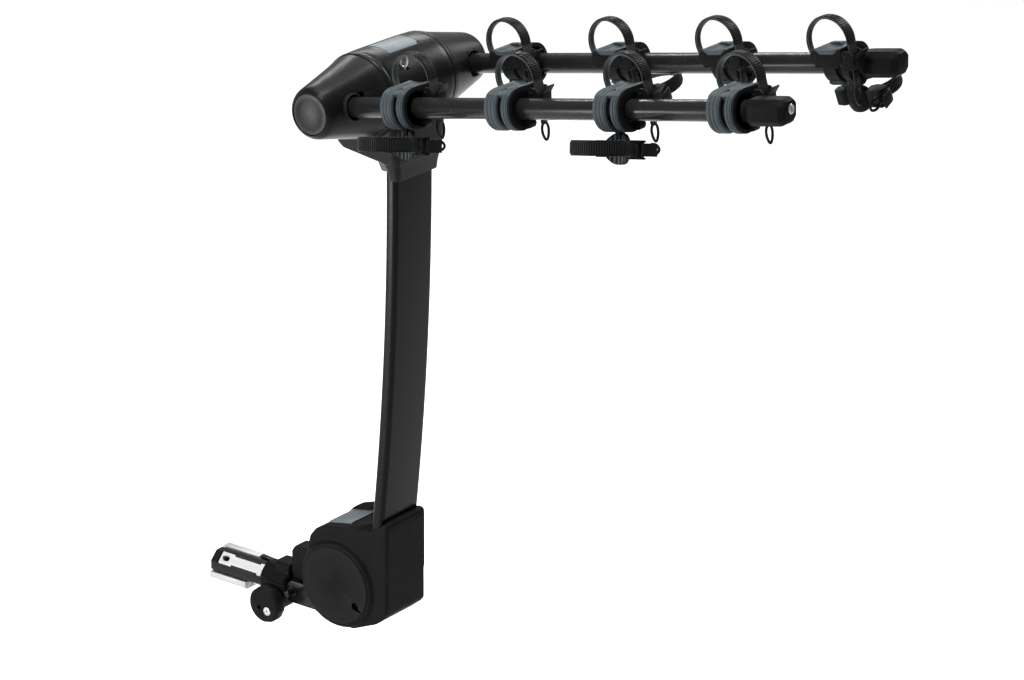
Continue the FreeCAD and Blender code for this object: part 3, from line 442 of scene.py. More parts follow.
def build_shank():
    outline = rounded(shank_outline(SHANK_HALF, SHANK_FLAT, SHANK_CORNER), 1.2, 3)
    shank = make("shank", prism_y(outline, SHANK_REAR_Y, SHANK_TIP_Y))
    inner = rounded(shank_outline(SHANK_HALF - SHANK_WALL, 10.5, 3.0), 1.0, 2)
    cut(shank, prism_y(inner, 12, 30))
    bevel(shank, 1.3, 3)
    recess = expander_outline(0.5, EXPANDER_TRAVEL)
    cut(shank, on_flat(recess, FLAT_DISTANCE - 1.4, FLAT_DISTANCE + 6))
    finish_piece(shank, POWDER, "hitch", ["shank_tube"])
    plug = prism_y(rounded(shank_outline(SHANK_HALF - SHANK_WALL - 0.2, 10.5, 3.0), 1.0, 2), 14.5, 22.5)
    piece("shank_plug", plug, PLASTIC, "hitch", edge=0.8)

    outline = rounded(expander_outline(0.0), 1.2, 3)
    solid = on_flat(outline, FLAT_DISTANCE - 1.1, FLAT_DISTANCE + 1.7)
    plate = make("expander", solid)
    bevel(plate, 0.5, 2)
    hole = [(-y, w) for y, w in rounded([(-3.9, -3.9), (8.2, -3.9), (8.2, 3.9), (-3.9, 3.9)], 3.7, 6)]
    cut(plate, on_flat(hole, FLAT_DISTANCE - 3, FLAT_DISTANCE + 4))
    finish_piece(plate, ALLOY, "expander", ["expander_plate"])

    pin_loops = []
    for level, radius in ((6.2, 3.4), (15.0, 3.4), (16.6, 3.2), (18.2, 2.5), (19.3, 1.2), (19.6, 0.2)):
        pin_loops.append([Vector((0, y, 0)) + FLAT_ACROSS * w + FLAT_NORMAL * level
                          for y, w in circle(radius, 32)])
    piece("detent", skin(pin_loops), POWDER, "detent", ["detent_pin"])


def build_shims():
    # Both shims wear the darkened copy of the bright alloy: painted shade.
    h = SHANK_HALF
    outer = h + SHIM_SIDE
    side = rounded([(h, -h), (outer, -h), (outer, h - 5), (outer - 5, h), (h, h)], 0.9, 3)
    obj = make("shim_far", prism_y(side, SHIM_REAR_Y, SHIM_TIP_Y))
    bevel(obj, 0.7, 2)
    cut(obj, revolve_y([(-46, 2.6), (-24, 2.6)], 25, 0, 24))
    finish_piece(obj, SHADED_SHIM_ALLOY, "hitch", ["shim_side"])
    low = -h - SHIM_LOW
    bottom = rounded([(-h, -h), (-h, low + 4), (-h + 4.5, low), (h, low), (h, -h)], 0.9, 3)
    obj = make("shim_low", prism_y(bottom, SHIM_REAR_Y, SHIM_TIP_Y))
    bevel(obj, 0.7, 2)
    cut(obj, revolve_y([(-46, 2.8), (-24, 2.8)], -1.5, -21.5, 24))
    finish_piece(obj, SHADED_SHIM_ALLOY, "hitch", ["shim_bottom"])
    rail = [(-44, 15.2), (-44, 10.4), (-56, 9.2), (-72, 8), (-80.5, 8), (-80.5, 13.4), (-70, 13.6),
            (-56, 14.4)]
    piece("tether", prism_x(rounded(rail, 1.0, 3), 20.5, 29.5), RUBBER, "hitch", ["shim_tether"], edge=0.9)
    button = revolve_y([(-52, 3.4), (-50.5, 3.9), (-44.0, 3.9), (-43.6, 3.2)], 25, 12.6, 24)
    piece("tether_button", button, RUBBER, "hitch")


def build_collar():
    sleeve = revolve_y([(-129, 23.5), (-126, 26.2), (-84, 26.5), (-80, 24.5)], 0, 0, 64)
    hump = [(-17, 12), (-16.5, 33), (-12, 36), (12, 36), (16.5, 33), (17, 12)]
    bridge = prism_y(rounded(hump, 4, 4), -130, -103)
    boss = revolve_x([(-24.4, 16), (-20, 17.5), (10, 17.5), (18, 14)], KNOB_Y, KNOB_Z, 48)
    ear = block(16, 31, -121, -81, 3, 17)
    pad = on_flat([(-127, -13), (-127, 13), (-83, 13), (-83, -13)], 18, FLAT_DISTANCE + 14)
    obj = make("collar", join(sleeve, bridge, boss, ear, pad))
    melt(obj, 1.0, 5)
    cut(obj, prism_y(shank_outline(SHANK_HALF + 0.1, SHANK_FLAT, SHANK_CORNER), -140, -70))
    pocket = [(-70, -10.5), (-95, -10.5), (-95, 10.5), (-70, 10.5)]
    cut(obj, on_flat(pocket, 10, FLAT_DISTANCE + 3.0))
    groove = prism_y(rounded([(-30, 27.0), (-30, 28.6), (30, 28.6), (30, 27.0)], 0.3, 2), -140, -125)
    cut(obj, groove)
    finish_piece(obj, PLASTIC, "hitch", ["shank_collar"])


def build_knob():
    lobes = 7

    def scallop(x, angle):
        depth = 0.032 if x > -43.5 else 0.010
        return 1.0 - depth * (0.5 + 0.5 * math.cos(lobes * angle)) ** 3

    profile = [(-25, 10), (-25, 21.5), (-26.2, 25.2), (-28.2, 27.4), (-31, 28.3), (-41, 28.3),
               (-43.2, 27.8), (-44.8, 26.6), (-45.8, 24.9), (-46.1, 23.6), (-46.1, 12)]
    turned = revolve_x(profile, KNOB_Y, KNOB_Z, 168, scallop)
    obj = make("knob_body", turned)
    lock_y = KNOB_Y - 7.2
    lock_z = KNOB_Z - 7.8
    cut(obj, revolve_x([(-48, 7.4), (-30, 7.4)], lock_y, lock_z, 40))
    cut(obj, revolve_x([(-48, 3.6), (-38, 3.6)], KNOB_Y + 8.1, KNOB_Z - 5.3, 28))
    finish_piece(obj, PLASTIC, "knob", ["knob"])
    lock("knob_lock_face", (lock_y, lock_z), -46.6, 6.8, "knob_lock", ["knob_lock_cylinder"])


def lock(name, centre, x, radius, body, replaces):
    """A key cylinder whose face looks towards -X."""
    y, z = centre
    profile = [(x + 12, radius), (x + 0.9, radius), (x + 0.3, radius - 0.4), (x, radius - 1.0),
               (x, radius - 1.5), (x + 0.4, radius - 1.9), (x + 0.4, 0.3)]
    obj = make(name, revolve_x(profile, y, z, 48))
    cut(obj, block(x - 1, x + 4, y - LOCK_SLOT, y + LOCK_SLOT, z - 2.6, z + 2.6))
    finish_piece(obj, LOCK, body, replaces)


# ---- yoke ----
def build_yoke():
    outline = [(-131, -20), (-131, 8), (-138, 15), (-165, 15), (-205, 66), (-225, 81), (-249, 86),
               (-272, 78), (-287, 58), (-287, 38), (-274, 19), (-249, 10), (-228, -8), (-205, -20)]
    for side, name in ((-1, "near"), (1, "far")):
        x0, x1 = sorted((side * SHANK_HALF, side * (SHANK_HALF + YOKE_PLATE)))
        solid = prism_x(rounded(outline, 7, 4), x0, x1)
        plate = make("yoke_" + name, solid)
        cut(plate, revolve_x([(-60, 8.02), (60, 8.02)], PIVOT_Y, PIVOT_Z, 32))
        bevel(plate, 0.9, 2, 50)
        finish_piece(plate, POWDER, "hitch")
    web = block(-SHANK_HALF, SHANK_HALF, SHANK_REAR_Y - 10, SHANK_REAR_Y, -SHANK_HALF, SHANK_HALF)
    piece("yoke_web", web, POWDER, "hitch", ["pivot_yoke"], edge=0.8)
    nose = [(-136, 17), (-134, 30), (-134, 60), (-141, 70), (-176, 70), (-187, 62), (-190, 40), (-172, 17)]
    solid = prism_x(rounded(nose, 6, 5), -14, 14)
    piece("nose", solid, PLASTIC, "hitch", ["yoke_nose"], edge=3.2, segments=4)
    bolt = [(-37.6, 2.8), (-37.3, 3.9), (-36.4, 4.6), (-25, 4.6), (-24.6, 7.4), (-22.2, 7.6), (-21.9, 7.0)]
    piece("cross_bolt", revolve_x(bolt, -143, 0, 40), POWDER, "hitch")


# ---- mast ----
def mast_y(z):
    drop = MAST_UPRIGHT_Z - z
    return MAST_REAR_Y + MAST_THICK / 2 + MAST_RADIUS - math.sqrt(MAST_RADIUS ** 2 - drop ** 2)


def mast_loop(z, grow=0.0):
    slope = (MAST_UPRIGHT_Z - z) / MAST_RADIUS
    loop = []
    for u, v in oval(MAST_WIDTH + 2 * grow, MAST_THICK + 2 * grow, MAST_CORNER + grow, 7):
        loop.append((u, mast_y(z) + v, z + v * slope))
    return loop


def build_mast():
    levels = [14 + (742 - 14) * i / 60 for i in range(61)]
    piece("mast", skin([mast_loop(z) for z in levels]), MAST_BLACK, "mast", ["mast_tube"], angle=50)


BASE_OUTLINE = [(-190, 22), (-191, 92), (-197, 113), (-208, 126), (-222, 133), (-262, 141), (-285, 147),
                (-312, 157), (-332, 165), (-341, 163), (-342, 152), (-339, 18), (-318, 1), (-276, -17),
                (-224, -17), (-199, -4)]


def build_base():
    """Housing and round bosses melted into one moulding, then hollowed for the mast and the yoke."""
    body = prism_x(rounded(BASE_OUTLINE, 12, 4), -BASE_HALF, BASE_HALF)
    half = [(BASE_HALF - 2, 67.5), (BASE_CAP_X - 1.4, 65.4), (BASE_CAP_X, 62.5)]
    profile = [(-x, r) for x, r in reversed(half)] + half
    boss = revolve_x(profile, PIVOT_Y, PIVOT_Z, 128)
    crest = [(-206, 124), (-217, 136), (-231, 145), (-254, 152), (-285, 158), (-320, 162), (-320, 130),
             (-220, 112)]
    ridge = prism_x(rounded(crest, 6, 4), 29, 43)
    obj = make("base", join(body, boss, ridge))
    levels = [(-246, 138), (-262, 141), (-277, 145), (-294, 150.5), (-310, 156.5), (-325, 162.5),
              (-336, 165), (-345, 165)]
    drops = (0.3, 1.8, 4.0, 6.8, 9.0, 7.0, 2.0, 0.5)
    scoop = []
    for x in (-60, -50, -45, -42, -39, -36, -33, -30, -27):
        t = min(1.0, max(0.0, (-27 - x) / 18))
        t = t * t * (3 - 2 * t)
        dished = [(x, y, z - drop * t + 1.6 * (1 - t)) for (y, z), drop in zip(levels, drops)]
        scoop.append(dished + [(x, -345, 200), (x, -246, 200)])
    melt(obj, 1.8, 2)
    cut(obj, skin(scoop))
    melt(obj, 1.7, 5)
    cut(obj, block(-24.5, 24.5, -292, -150, -60, 88))
    cut(obj, skin([mast_loop(z, 0.9) for z in (100, 130, 160, 200)]))
    cut(obj, block(-27.6, 27.6, -263.6, -218.6, 120, 160))
    hook_y = -286.0
    hook_z = 24.0
    hook_hole = revolve_x([(-60, 6.6), (-38, 6.6)], hook_y, hook_z, 40)
    cut(obj, hook_hole)
    tail = rounded([(hook_y + 2, hook_z - 6.4), (hook_y - 14, hook_z - 8.4), (hook_y - 9, hook_z - 4.0),
                    (hook_y, hook_z - 2)], 1.2, 3)
    hook_tail = prism_x(tail, -60, -46)
    cut(obj, hook_tail)
    finish_piece(obj, PLASTIC, "mast", ["base_housing", "base_caps"], angle=40)
    profile = [(-47, 58.6), (-50.9, 58.6), (-51.5, 57.9), (-51.6, 0.5)]
    disc = make("base_disc", revolve_x(profile, PIVOT_Y, PIVOT_Z, 128))
    cut(disc, hook_hole)
    cut(disc, hook_tail)
    finish_piece(disc, PLASTIC, "mast")
    pin = revolve_x([(-47, 1.2), (-46.4, 1.9), (-38, 2.0)], hook_y + 2.4, hook_z + 1.2, 20)
    piece("base_hook_pin", pin, PLASTIC, "mast")
    # painted shadow: a dark disc set into the hook hole stands in for the shade at its bottom
    well = revolve_x([(-42.5, 6.5), (-38.5, 6.5)], hook_y, hook_z, 32)
    piece("base_hook_floor", well, PAINTED_SHADOW, "mast")
    plate = [(-220.2, 129.2), (-220.2, 134.9), (-224, 136.2), (-240, 139.2), (-263, 143.4), (-263, 138.4),
             (-230, 131.4)]
    solid = prism_x(rounded(plate, 0.8, 3), -27, 27)
    piece("tilt_release", solid, GREY, "tilt_lever", ["tilt_lever"], edge=0.8)


# ---- head ----
def head_sector(outer, inner, half, start, end, steps=24):
    """A curved plate about the head's axis; angles run from the rear (0) over the top (90)."""
    loops = []
    for i in range(steps + 1):
        a = math.radians(start + (end - start) * i / steps)
        loops.append([(x, HEAD_Y - r * math.cos(a), HEAD_Z + r * math.sin(a))
                      for x, r in ((-half, inner), (half, inner), (half, outer), (-half, outer))])
    return skin(loops)


def head_point(x, radius, degrees):
    a = math.radians(degrees)
    return (x, HEAD_Y - radius * math.cos(a), HEAD_Z + radius * math.sin(a))


def build_head():
    half = [(0, 62.4), (40, 62.3), (56, 62.0), (63, 61.6), (64.2, 61.0), (65.0, 61.0), (66.2, 61.6),
            (68.5, 61.5), (71.2, 60.9), (72.6, 60.0), (73.2, 58.6), (73.2, 40)]
    profile = [(-x, r) for x, r in reversed(half)] + half[1:]
    obj = make("head_shell", revolve_x(profile, HEAD_Y, HEAD_Z, 160))
    cut(obj, head_sector(70, 56.5, 33.6, 65.2, 105.2))
    eyelet_recess = [[head_point(-38, r, 56), head_point(-38, r, 38), head_point(-20, r, 36)]
                     for r in (53, 66)]
    cut(obj, skin(eyelet_recess))
    finish_piece(obj, SATIN, "mast", ["head_cover_front", "head_cover_rear"], angle=30)
    lever = make("arm_release", head_sector(62.6, 58.6, 32.8, 66, 103, 40))
    bevel(lever, 0.9, 3)
    corner = [[head_point(33.5, r, 66.5), head_point(33.5, r, 72.5), head_point(27.5, r, 67.5)]
              for r in (55, 66)]
    cut(lever, skin(corner))
    finish_piece(lever, GREY, "arm_lever", ["arm_lever"], angle=30)


def build_skirt():
    """The head's collar round the top of the mast: z, half width, back, front, corner, rise to the front."""
    sections = ((687.5, 45.4, -370.4, -352.0, 6.0, 0.0), (700.0, 47.0, -371.8, -350.0, 7.0, 0.0),
                (711.5, 50.0, -373.6, -347.0, 7.0, 0.0), (712.0, 51.8, -374.0, -272.0, 8.0, 0.17),
                (717.0, 53.0, -374.8, -266.0, 8.0, 0.17), (726.0, 54.4, -375.2, -264.0, 9.0, 0.12),
                (750.0, 57.0, -375.6, -262.0, 9.0, 0.0), (772.0, 60.0, -376.0, -264.0, 10.0, 0.0),
                (800.0, 60.0, -372.0, -275.0, 10.0, 0.0))
    loops = []
    for z, half_width, back, front, corner, climb in sections:
        mid = (back + front) / 2
        loops.append([(u, mid + v, z + climb * max(0.0, mid + v + 347))
                      for u, v in oval(2 * half_width, front - back, corner, 6)])
    skirt = make("skirt", skin(loops))
    cut(skirt, skin([mast_loop(z, 0.4) for z in (670, 700, 730)]))
    finish_piece(skirt, SATIN, "mast", ["head_collar"], angle=24)


def build_eyelet():
    """A long upright loop of wire, leaning with the head's rear face."""
    ring = []
    for i in range(40):
        t = 2 * math.pi * i / 40
        mid = Vector((0, 4.6 * math.cos(t), 9.0 * math.sin(t)))
        out = Vector((0, math.cos(t), math.sin(t)))
        ring.append([mid + out * (1.9 * math.cos(s)) + Vector((1.6 * math.sin(s), 0, 0))
                     for s in (2 * math.pi * k / 16 for k in range(16))])
    lean = Matrix.Translation(EYELET_PLACE) @ Matrix.Rotation(math.radians(6), 4, "X")
    turn = Matrix.Rotation(math.radians(30), 4, "Z")
    stem = block(-1.6, 1.6, -4.2, 4.2, -15, -7)
    loop = join(skin(ring, closed=True, caps=False), stem)
    piece("eyelet", moved(loop, lean @ turn), ZINC, "mast", ["cable_eyelet"], angle=50)


def arm_matrix(side, distance):
    """From an arm's own frame (x outboard on the left arm, y to the tip, z up) to the CAD frame."""
    c = math.cos(ARM_PITCH)
    s = math.sin(ARM_PITCH)
    base = Vector((side * ARM_X, HEAD_Y - distance * c, HEAD_Z + distance * s))
    return Matrix(((-1, 0, 0, base.x), (0, -c, s, base.y), (0, s, c, base.z), (0, 0, 0, 1)))


def build_cones():
    half = [(73.4, 16.5), (73.4, 57.6), (73.9, 58.9), (75.2, 59.3), (92, 54.6), (114, 49.3), (150, 41.0),
            (163, 38.0), (168, 36.6), (171.5, 34.9), (174.4, 32.6), (176.2, 30.6), (176.8, 29.6),
            (176.4, 29.0), (175.6, 28.6), (175.3, 28.2), (175.2, 27.4), (176.4, 21.0), (177.2, 13.0),
            (177.6, 6.0), (177.7, 0.6)]
    bore = revolve_y([(20, 17.6), (90, 17.6)], 0, 0, 56)
    lip = revolve_y([(30, 19.8), (43, 19.8), (44.6, 19.2), (45.2, 18.0), (44.2, 17.0), (30, 17.0)], 0, 0, 56)
    notches = {-1: block(-19, -9, 20, 90, 8, 18), 1: block(-14, 15, 20, 90, 4, 19)}
    for side, name in ((-1, "left"), (1, "right")):
        place = arm_matrix(side, 0)
        profile = [(side * x, r) for x, r in half]
        obj = make("cone_shell_" + name, revolve_x(profile, HEAD_Y, HEAD_Z, 144))
        cut(obj, moved(bore, place))
        cut(obj, moved(notches[side], place))
        finish_piece(obj, SATIN, "arms", ["cone_" + name], angle=30)
        socket = make("arm_socket_" + name, moved(lip, place))
        finish_piece(socket, PLASTIC, "arms")


def build_arms():
    """Tubes with eight-sided end caps; the left cap holds a key lock."""
    h = CAP_HALF
    cap_section = rounded([(-h, 10), (-10, h), (10, h), (h, 10), (h, -10), (10, -h), (-10, -h), (-h, -10)],
                          1.3, 3)
    tip = ARM_LENGTH
    start = tip - CAP_LENGTH
    profile = [(24, 12.3), (24, ARM_R - 0.6), (25, ARM_R), (start + 30, ARM_R), (start + 30, 12.3)]
    tube = revolve_y(profile, 0, 0, 80)
    loops = []
    for y, scale, slant in ((start - 1, 0.80, 0), (start + 1.5, 0.90, 0), (start + 7, 0.985, 0),
                            (start + 14, 1.0, 0), (tip - 13, 1.0, 0.05), (tip - 9, 0.975, 0.1),
                            (tip - 3.2, 0.80, 0.14), (tip - 2.4, 0.75, 0.15)):
        loops.append([(u * scale, y + slant * v * scale, v * scale) for u, v in cap_section])
    for side, name in ((-1, "left"), (1, "right")):
        place = arm_matrix(side, 0)
        piece("tube_" + name, moved(tube, place), POWDER, "arms", ["arm_" + name], angle=50)
        cap = make("cap_" + name, moved(skin(loops), place))
        bevel(cap, 0.8, 2, 22)
        if side < 0:
            cut(cap, moved(revolve_y([(tip - 16, 7.2), (tip + 6, 7.2)], 0, 3, 40), place))
        finish_piece(cap, PLASTIC, "arms", ["arm_cap_" + name], angle=30)
    barrel = revolve_y([(tip - 15.5, 6.4), (tip - 0.6, 6.4), (tip, 5.9), (tip + 0.2, 5.0), (tip - 0.3, 4.6),
                        (tip - 0.3, 0.3)], 0, 3, 40)
    obj = make("cap_lock_face", moved(barrel, arm_matrix(-1, 0)))
    cut(obj, moved(block(-LOCK_SLOT, LOCK_SLOT, tip - 4, tip + 2, 0.6, 5.4), arm_matrix(-1, 0)))
    finish_piece(obj, LOCK, "cap_lock", ["cap_lock_cylinder"])


# ---- cradles, in an arm's own frame ----
def wrap_point(degrees, grow=0.0):
    """The cradle's outline round the arm: round below, fuller at its outboard shoulder."""
    a = math.radians(degrees)
    shoulder = max(0.0, math.sin(2 * a)) ** 2 if 0 < degrees < 90 else 0.0
    r = 28.3 + 1.2 * shoulder + grow
    return Vector((r * math.cos(a), 0, r * math.sin(a)))


def wrap_frames(start, end, steps):
    """Places round the outline: a point and its outward direction."""
    frames = []
    for i in range(steps + 1):
        degrees = start + (end - start) * i / steps
        here = wrap_point(degrees)
        step = wrap_point(degrees + 0.5) - wrap_point(degrees - 0.5)
        out = Vector((step.z, 0, -step.x)).normalized()
        if out.dot(here) < 0:
            out.negate()
        frames.append((here, out))
    return frames


def band(y0, y1, ribs, depth, start=96.0, end=-118.0):
    """A ribbed elastomer band round the arm's outboard side."""
    width = y1 - y0
    section = [(0.0, -depth), (0.0, -1.4), (0.6, -0.5), (1.6, -0.25)]
    pitch = (width - 3.2) / ribs
    for k in range(ribs):
        a = 1.6 + k * pitch
        section += [(a + 0.12 * pitch, -0.25), (a + 0.26 * pitch, 0.55), (a + 0.74 * pitch, 0.55),
                    (a + 0.88 * pitch, -0.25)]
    section += [(width - 1.6, -0.25), (width - 0.6, -0.5), (width, -1.4), (width, -depth)]
    loops = []
    for here, out in wrap_frames(start, end, 60):
        loops.append([here + out * h + Vector((0, y0 + w, 0)) for w, h in section])
    return skin(loops)


def saddle():
    """The concave elastomer seat on top, which rolls over into the two bands."""
    frames = []
    for i in range(17):
        x = -41.0 + 41.0 * i / 16
        frames.append((Vector((x, 0, 28.3)), Vector((0, 0, 1)), min(1.0, (x + 41.0) / 2.5 + 0.55)))
    for here, out in wrap_frames(88, 50, 12):
        frames.append((here, out, 1.0))
    count = len(frames)
    loops = []
    for i, (here, out, edge) in enumerate(frames):
        fade = 1.0 if i < 12 else max(0.1, 1.0 - (i - 12) / (count - 13))
        loop = []
        for k in range(29):
            w = -20.0 + 39.0 * k / 28
            t = (w + 0.5) / 19.5
            dip = 5.6 * (1 - t * t) * fade
            rim = 1.5 if k in (0, 28) else (0.5 if k in (1, 27) else 0.0)
            groove = 0.7 if k in (6, 12, 16, 22) and 1 < i < count - 3 else 0.0
            loop.append(here + out * ((0.9 - dip - rim - groove) * edge) + Vector((0, w, 0)))
        loop.append(here + out * -8.0 + Vector((0, 19.0, 0)))
        loop.append(here + out * -8.0 + Vector((0, -20.0, 0)))
        loops.append(loop)
    return skin(loops)


def flange(y0, y1, grow):
    outline = [(-42.0, 27.4), (-42.0, 6.0), (-36.0, 3.0), (-26.0, -2.0)]
    for k in range(24):
        p = wrap_point(-150.0 + (88.0 + 150.0) * k / 23, grow)
        outline.append((p.x, p.z))
    outline.append((-10.0, 28.6))
    return prism_y(rounded(outline, 2.0, 2), y0, y1)


def strap_share(degrees, narrow):
    """How much of its full width the strap keeps; it narrows towards its anchor."""
    t = min(1.0, max(0.0, (degrees - 60.0) / 110.0))
    return 1.0 - narrow * t * t * (3 - 2 * t)


def band_path(profile, centre_y, centre_z, angles, x0, x1, narrow=0.0):
    """A belt round a centre in the y-z plane; profile(angle) gives (rail, tooth, inner) radii."""
    rail = 2.2
    full = x1 - x0
    middle = (x0 + x1) / 2
    loops = []
    for degrees in angles:
        side, tooth, inner = profile(degrees)
        half = full / 2 * strap_share(degrees, narrow)
        x0 = middle - half
        x1 = middle + half
        a = math.radians(degrees)
        loop = []
        for x, r in ((x0, inner), (x0, side - 0.4), (x0 + 0.4, side), (x0 + rail, side),
                     (x0 + rail + 0.5, tooth), (x1 - rail - 0.5, tooth), (x1 - rail, side), (x1 - 0.4, side),
                     (x1, side - 0.4), (x1, inner)):
            loop.append(Vector((x, centre_y + r * math.cos(a), centre_z + r * math.sin(a))))
        loops.append(loop)
    return skin(loops)


def tooth_angles(start, end, pitch):
    """Four stations to a tooth: crest, crest's end, root, root's end."""
    stations = []
    angle = start
    while angle < end:
        stations += [(angle, 0.0), (angle + 0.40 * pitch, 0.0), (angle + 0.55 * pitch, 1.0),
                     (angle + 0.85 * pitch, 1.0)]
        angle += pitch
    stations.append((end, 0.0))
    return stations


def toothed_belt(centre_y, centre_z, radius, start, end, x0, x1, pitch, narrow=0.0):
    stations = tooth_angles(start, end, pitch)
    lookup = dict(stations)

    def profile(angle):
        return radius - TOOTH_DEPTH, radius - TOOTH_DEPTH * lookup[angle], radius - STRAP_THICK

    return band_path(profile, centre_y, centre_z, [a for a, _ in stations], x0, x1, narrow)


def strap_tail(x_mid, top_y, top_z, low_z, width):
    """The belt's free end below the buckle, with its looped pull."""
    thick = 2.2
    half = width / 2
    loops = []
    for z in (top_z, (top_z + low_z + 24) / 2, low_z + 24):
        loops.append([(x_mid - half, top_y, z), (x_mid + half, top_y, z), (x_mid + half, top_y + thick, z),
                      (x_mid - half, top_y + thick, z)])
    blade = skin(loops)
    ring = []
    steps = 36
    centre_z = low_z + 12.5
    for i in range(steps):
        t = 2 * math.pi * i / steps
        taper = 1.0 + 0.22 * math.sin(t)
        mid = Vector((x_mid + 6.8 * taper * math.cos(t), 0, centre_z + 11.4 * math.sin(t)))
        out = Vector((math.cos(t), 0, math.sin(t))).normalized()
        y = top_y + thick / 2
        loop = []
        for u, v in ((-1.0, -1.0), (1.0, -1.0), (1.25, 0.0), (1.0, 1.0), (-1.0, 1.0), (-1.25, 0.0)):
            loop.append(mid + out * (u * 1.7) + Vector((0, y + v * 1.2, 0)))
        ring.append(loop)
    return join(blade, skin(ring, closed=True, caps=False))


def strap_liner(radius, place, start, end, steps, narrow=0.0):
    """The grey inner face of a strap; place(w, r, a) puts width w at radius r and angle a."""
    section = ((-8.4, 2.5), (8.4, 2.5), (8.4, 4.0), (6.4, 4.6), (-6.4, 4.6), (-8.4, 4.0))
    loops = []
    for i in range(steps + 1):
        degrees = start + (end - start) * i / steps
        share = strap_share(degrees, narrow)
        loops.append([place(w * share, radius - d, math.radians(degrees)) for w, d in section])
    return skin(loops)


def cradle_shapes():
    """The pieces of one cradle: name, shape, material, bevel."""
    shapes = []
    rear = [(-20.2, 15.0), (-20.2, 23.6), (-19.4, 24.4), (-0.4, 24.4), (0, 23.8), (0, 15.0)]
    front = [(8, 15.0), (8, 23.8), (8.4, 24.4), (22, 24.4), (22.8, 23.4), (22.8, 15.0)]
    sleeves = join(revolve_y(rear, 0, 0, 72), revolve_y(front, 0, 0, 72))
    shapes.append(("sleeve", sleeves, PLASTIC, 0.0))
    drum = revolve_y([(-0.5, 14.6), (-0.5, 19.6), (8.5, 19.6), (8.5, 14.6)], 0, 0, 48)
    shapes.append(("drum", drum, PLASTIC, 0.0))
    shapes.append(("bands", join(band(-20, 0, 3, 4.4), band(8, 19.2, 2, 4.4)), SOFT, 0.0))
    shapes.append(("seat", saddle(), SOFT, 0.0))
    shapes.append(("flange", flange(19.2, 22.8, 0.4), PLASTIC, 0.7))
    trough = [(-20.6, 27.0), (-20.6, 9.5), (-18, 6.0), (18, 6.0), (22.6, 9.5), (22.6, 27.6), (18.5, 27.0),
              (10, 20), (-10, 20), (-18.5, 26.6)]
    shapes.append(("trough", prism_x(rounded(trough, 1.5, 3), -42.4, -6), PLASTIC, 0.8))
    lobes = []
    for y in (-15.5, -6.0, 3.5, 13.0):
        lobes.append(prism_x(circle(4.4, 20, y, 6.4), -41.4, -16))
    heel = [(12, -14), (12, -26), (17, -28.5), (29, -27), (32, -22), (30, -14)]
    lobes.append(prism_x(rounded(heel, 3, 4), -15, -2))
    shapes.append(("lobes", join(*lobes), PLASTIC, 0.8))
    anchor = [(-20.4, 9), (-25.4, 9), (-26.4, 20), (-24.4, 23.5), (-20.4, 23.5)]
    shapes.append(("anchor", prism_x(rounded(anchor, 1.2, 3), -39.5, -16.5), PLASTIC, 0.8))
    shapes.append(("buckle", cradle_buckle(), PLASTIC, 0.6))

    belt = toothed_belt(STRAP_Y, STRAP_Z, STRAP_R, STRAP_END, 222, STRAP_X - STRAP_HALF,
                        STRAP_X + STRAP_HALF, STRAP_TOOTH, STRAP_NARROW)
    inner = STRAP_R - STRAP_THICK
    start_y = STRAP_Y + inner * math.cos(math.radians(STRAP_END))
    start_z = STRAP_Z + inner * math.sin(math.radians(STRAP_END))
    x0 = STRAP_X - 9
    x1 = STRAP_X + 9
    route = ((start_y, start_z + 1), (start_y + 0.5, start_z - 3), (32.3, 23.5), (32.7, 19), (32.7, -2))
    lead = skin([[(x0, y, z), (x1, y, z), (x1, y + 2.2, z), (x0, y + 2.2, z)] for y, z in route])
    shapes.append(("belt", join(belt, lead), RUBBER, 0.0))
    shapes.append(("tail", strap_tail(STRAP_X, 32.5, 0, -49, 13), RUBBER, 0.35))

    def place(w, r, a):
        return (STRAP_X + w, STRAP_Y + r * math.cos(a), STRAP_Z + r * math.sin(a))

    shapes.append(("liner", strap_liner(STRAP_R, place, 14, 212, 48, STRAP_NARROW), SOFT, 0.0))
    return shapes


def cradle_buckle():
    """Two cheeks with a body between them and two cross pins."""
    outline = rounded([(22.2, 0.5), (22.2, 22.5), (28, 24.5), (36, 23.5), (40.0, 18.0), (41.0, 6.0),
                       (38.5, 0.5), (30, -1.5)], 1.8, 3)
    solids = [prism_x(outline, x0, x1) for x0, x1 in ((-41.4, -38.6), (-17.4, -14.6))]
    body = [(22.2, 3), (22.2, 19), (28, 21), (31.9, 17), (31.6, 4), (28, 1)]
    solids.append(prism_x(rounded(body, 2, 3), -39, -17))
    solids.append(revolve_x([(-42.6, 1.6), (-42.2, 2.4), (-13.8, 2.4), (-13.4, 1.6)], 36.5, 8.5, 20))
    solids.append(revolve_x([(-42.4, 1.4), (-42.0, 2.0), (-14.0, 2.0), (-13.6, 1.4)], 28.0, 17.0, 20))
    return join(*solids)


def cradle_lever():
    outline = [(39.2, 6), (40.0, 13.5), (41.6, 17.0), (50.4, 25.6), (52.0, 24.0), (45.2, 15.5),
               (43.4, 2.0), (41.4, 1.2)]
    tab = prism_x(rounded(outline, 0.8, 3), STRAP_X - 9.6, STRAP_X + 9.6)
    grips = []
    for k in range(3):
        y = 46.9 + 1.5 * k
        z = 18.2 + 2.0 * k
        grips.append(prism_x(circle(0.55, 10, y, z), STRAP_X - 7.5, STRAP_X + 7.5))
    return join(tab, *grips)


# ---- anti-sway cages, hanging straight down in an arm's own frame; build_cages tilts them ----
def pad_half_height(degrees):
    t = (degrees - 180.0) / 56.0
    return 7.0 + 13.5 * max(0.0, 1 - abs(t) ** 2.6)


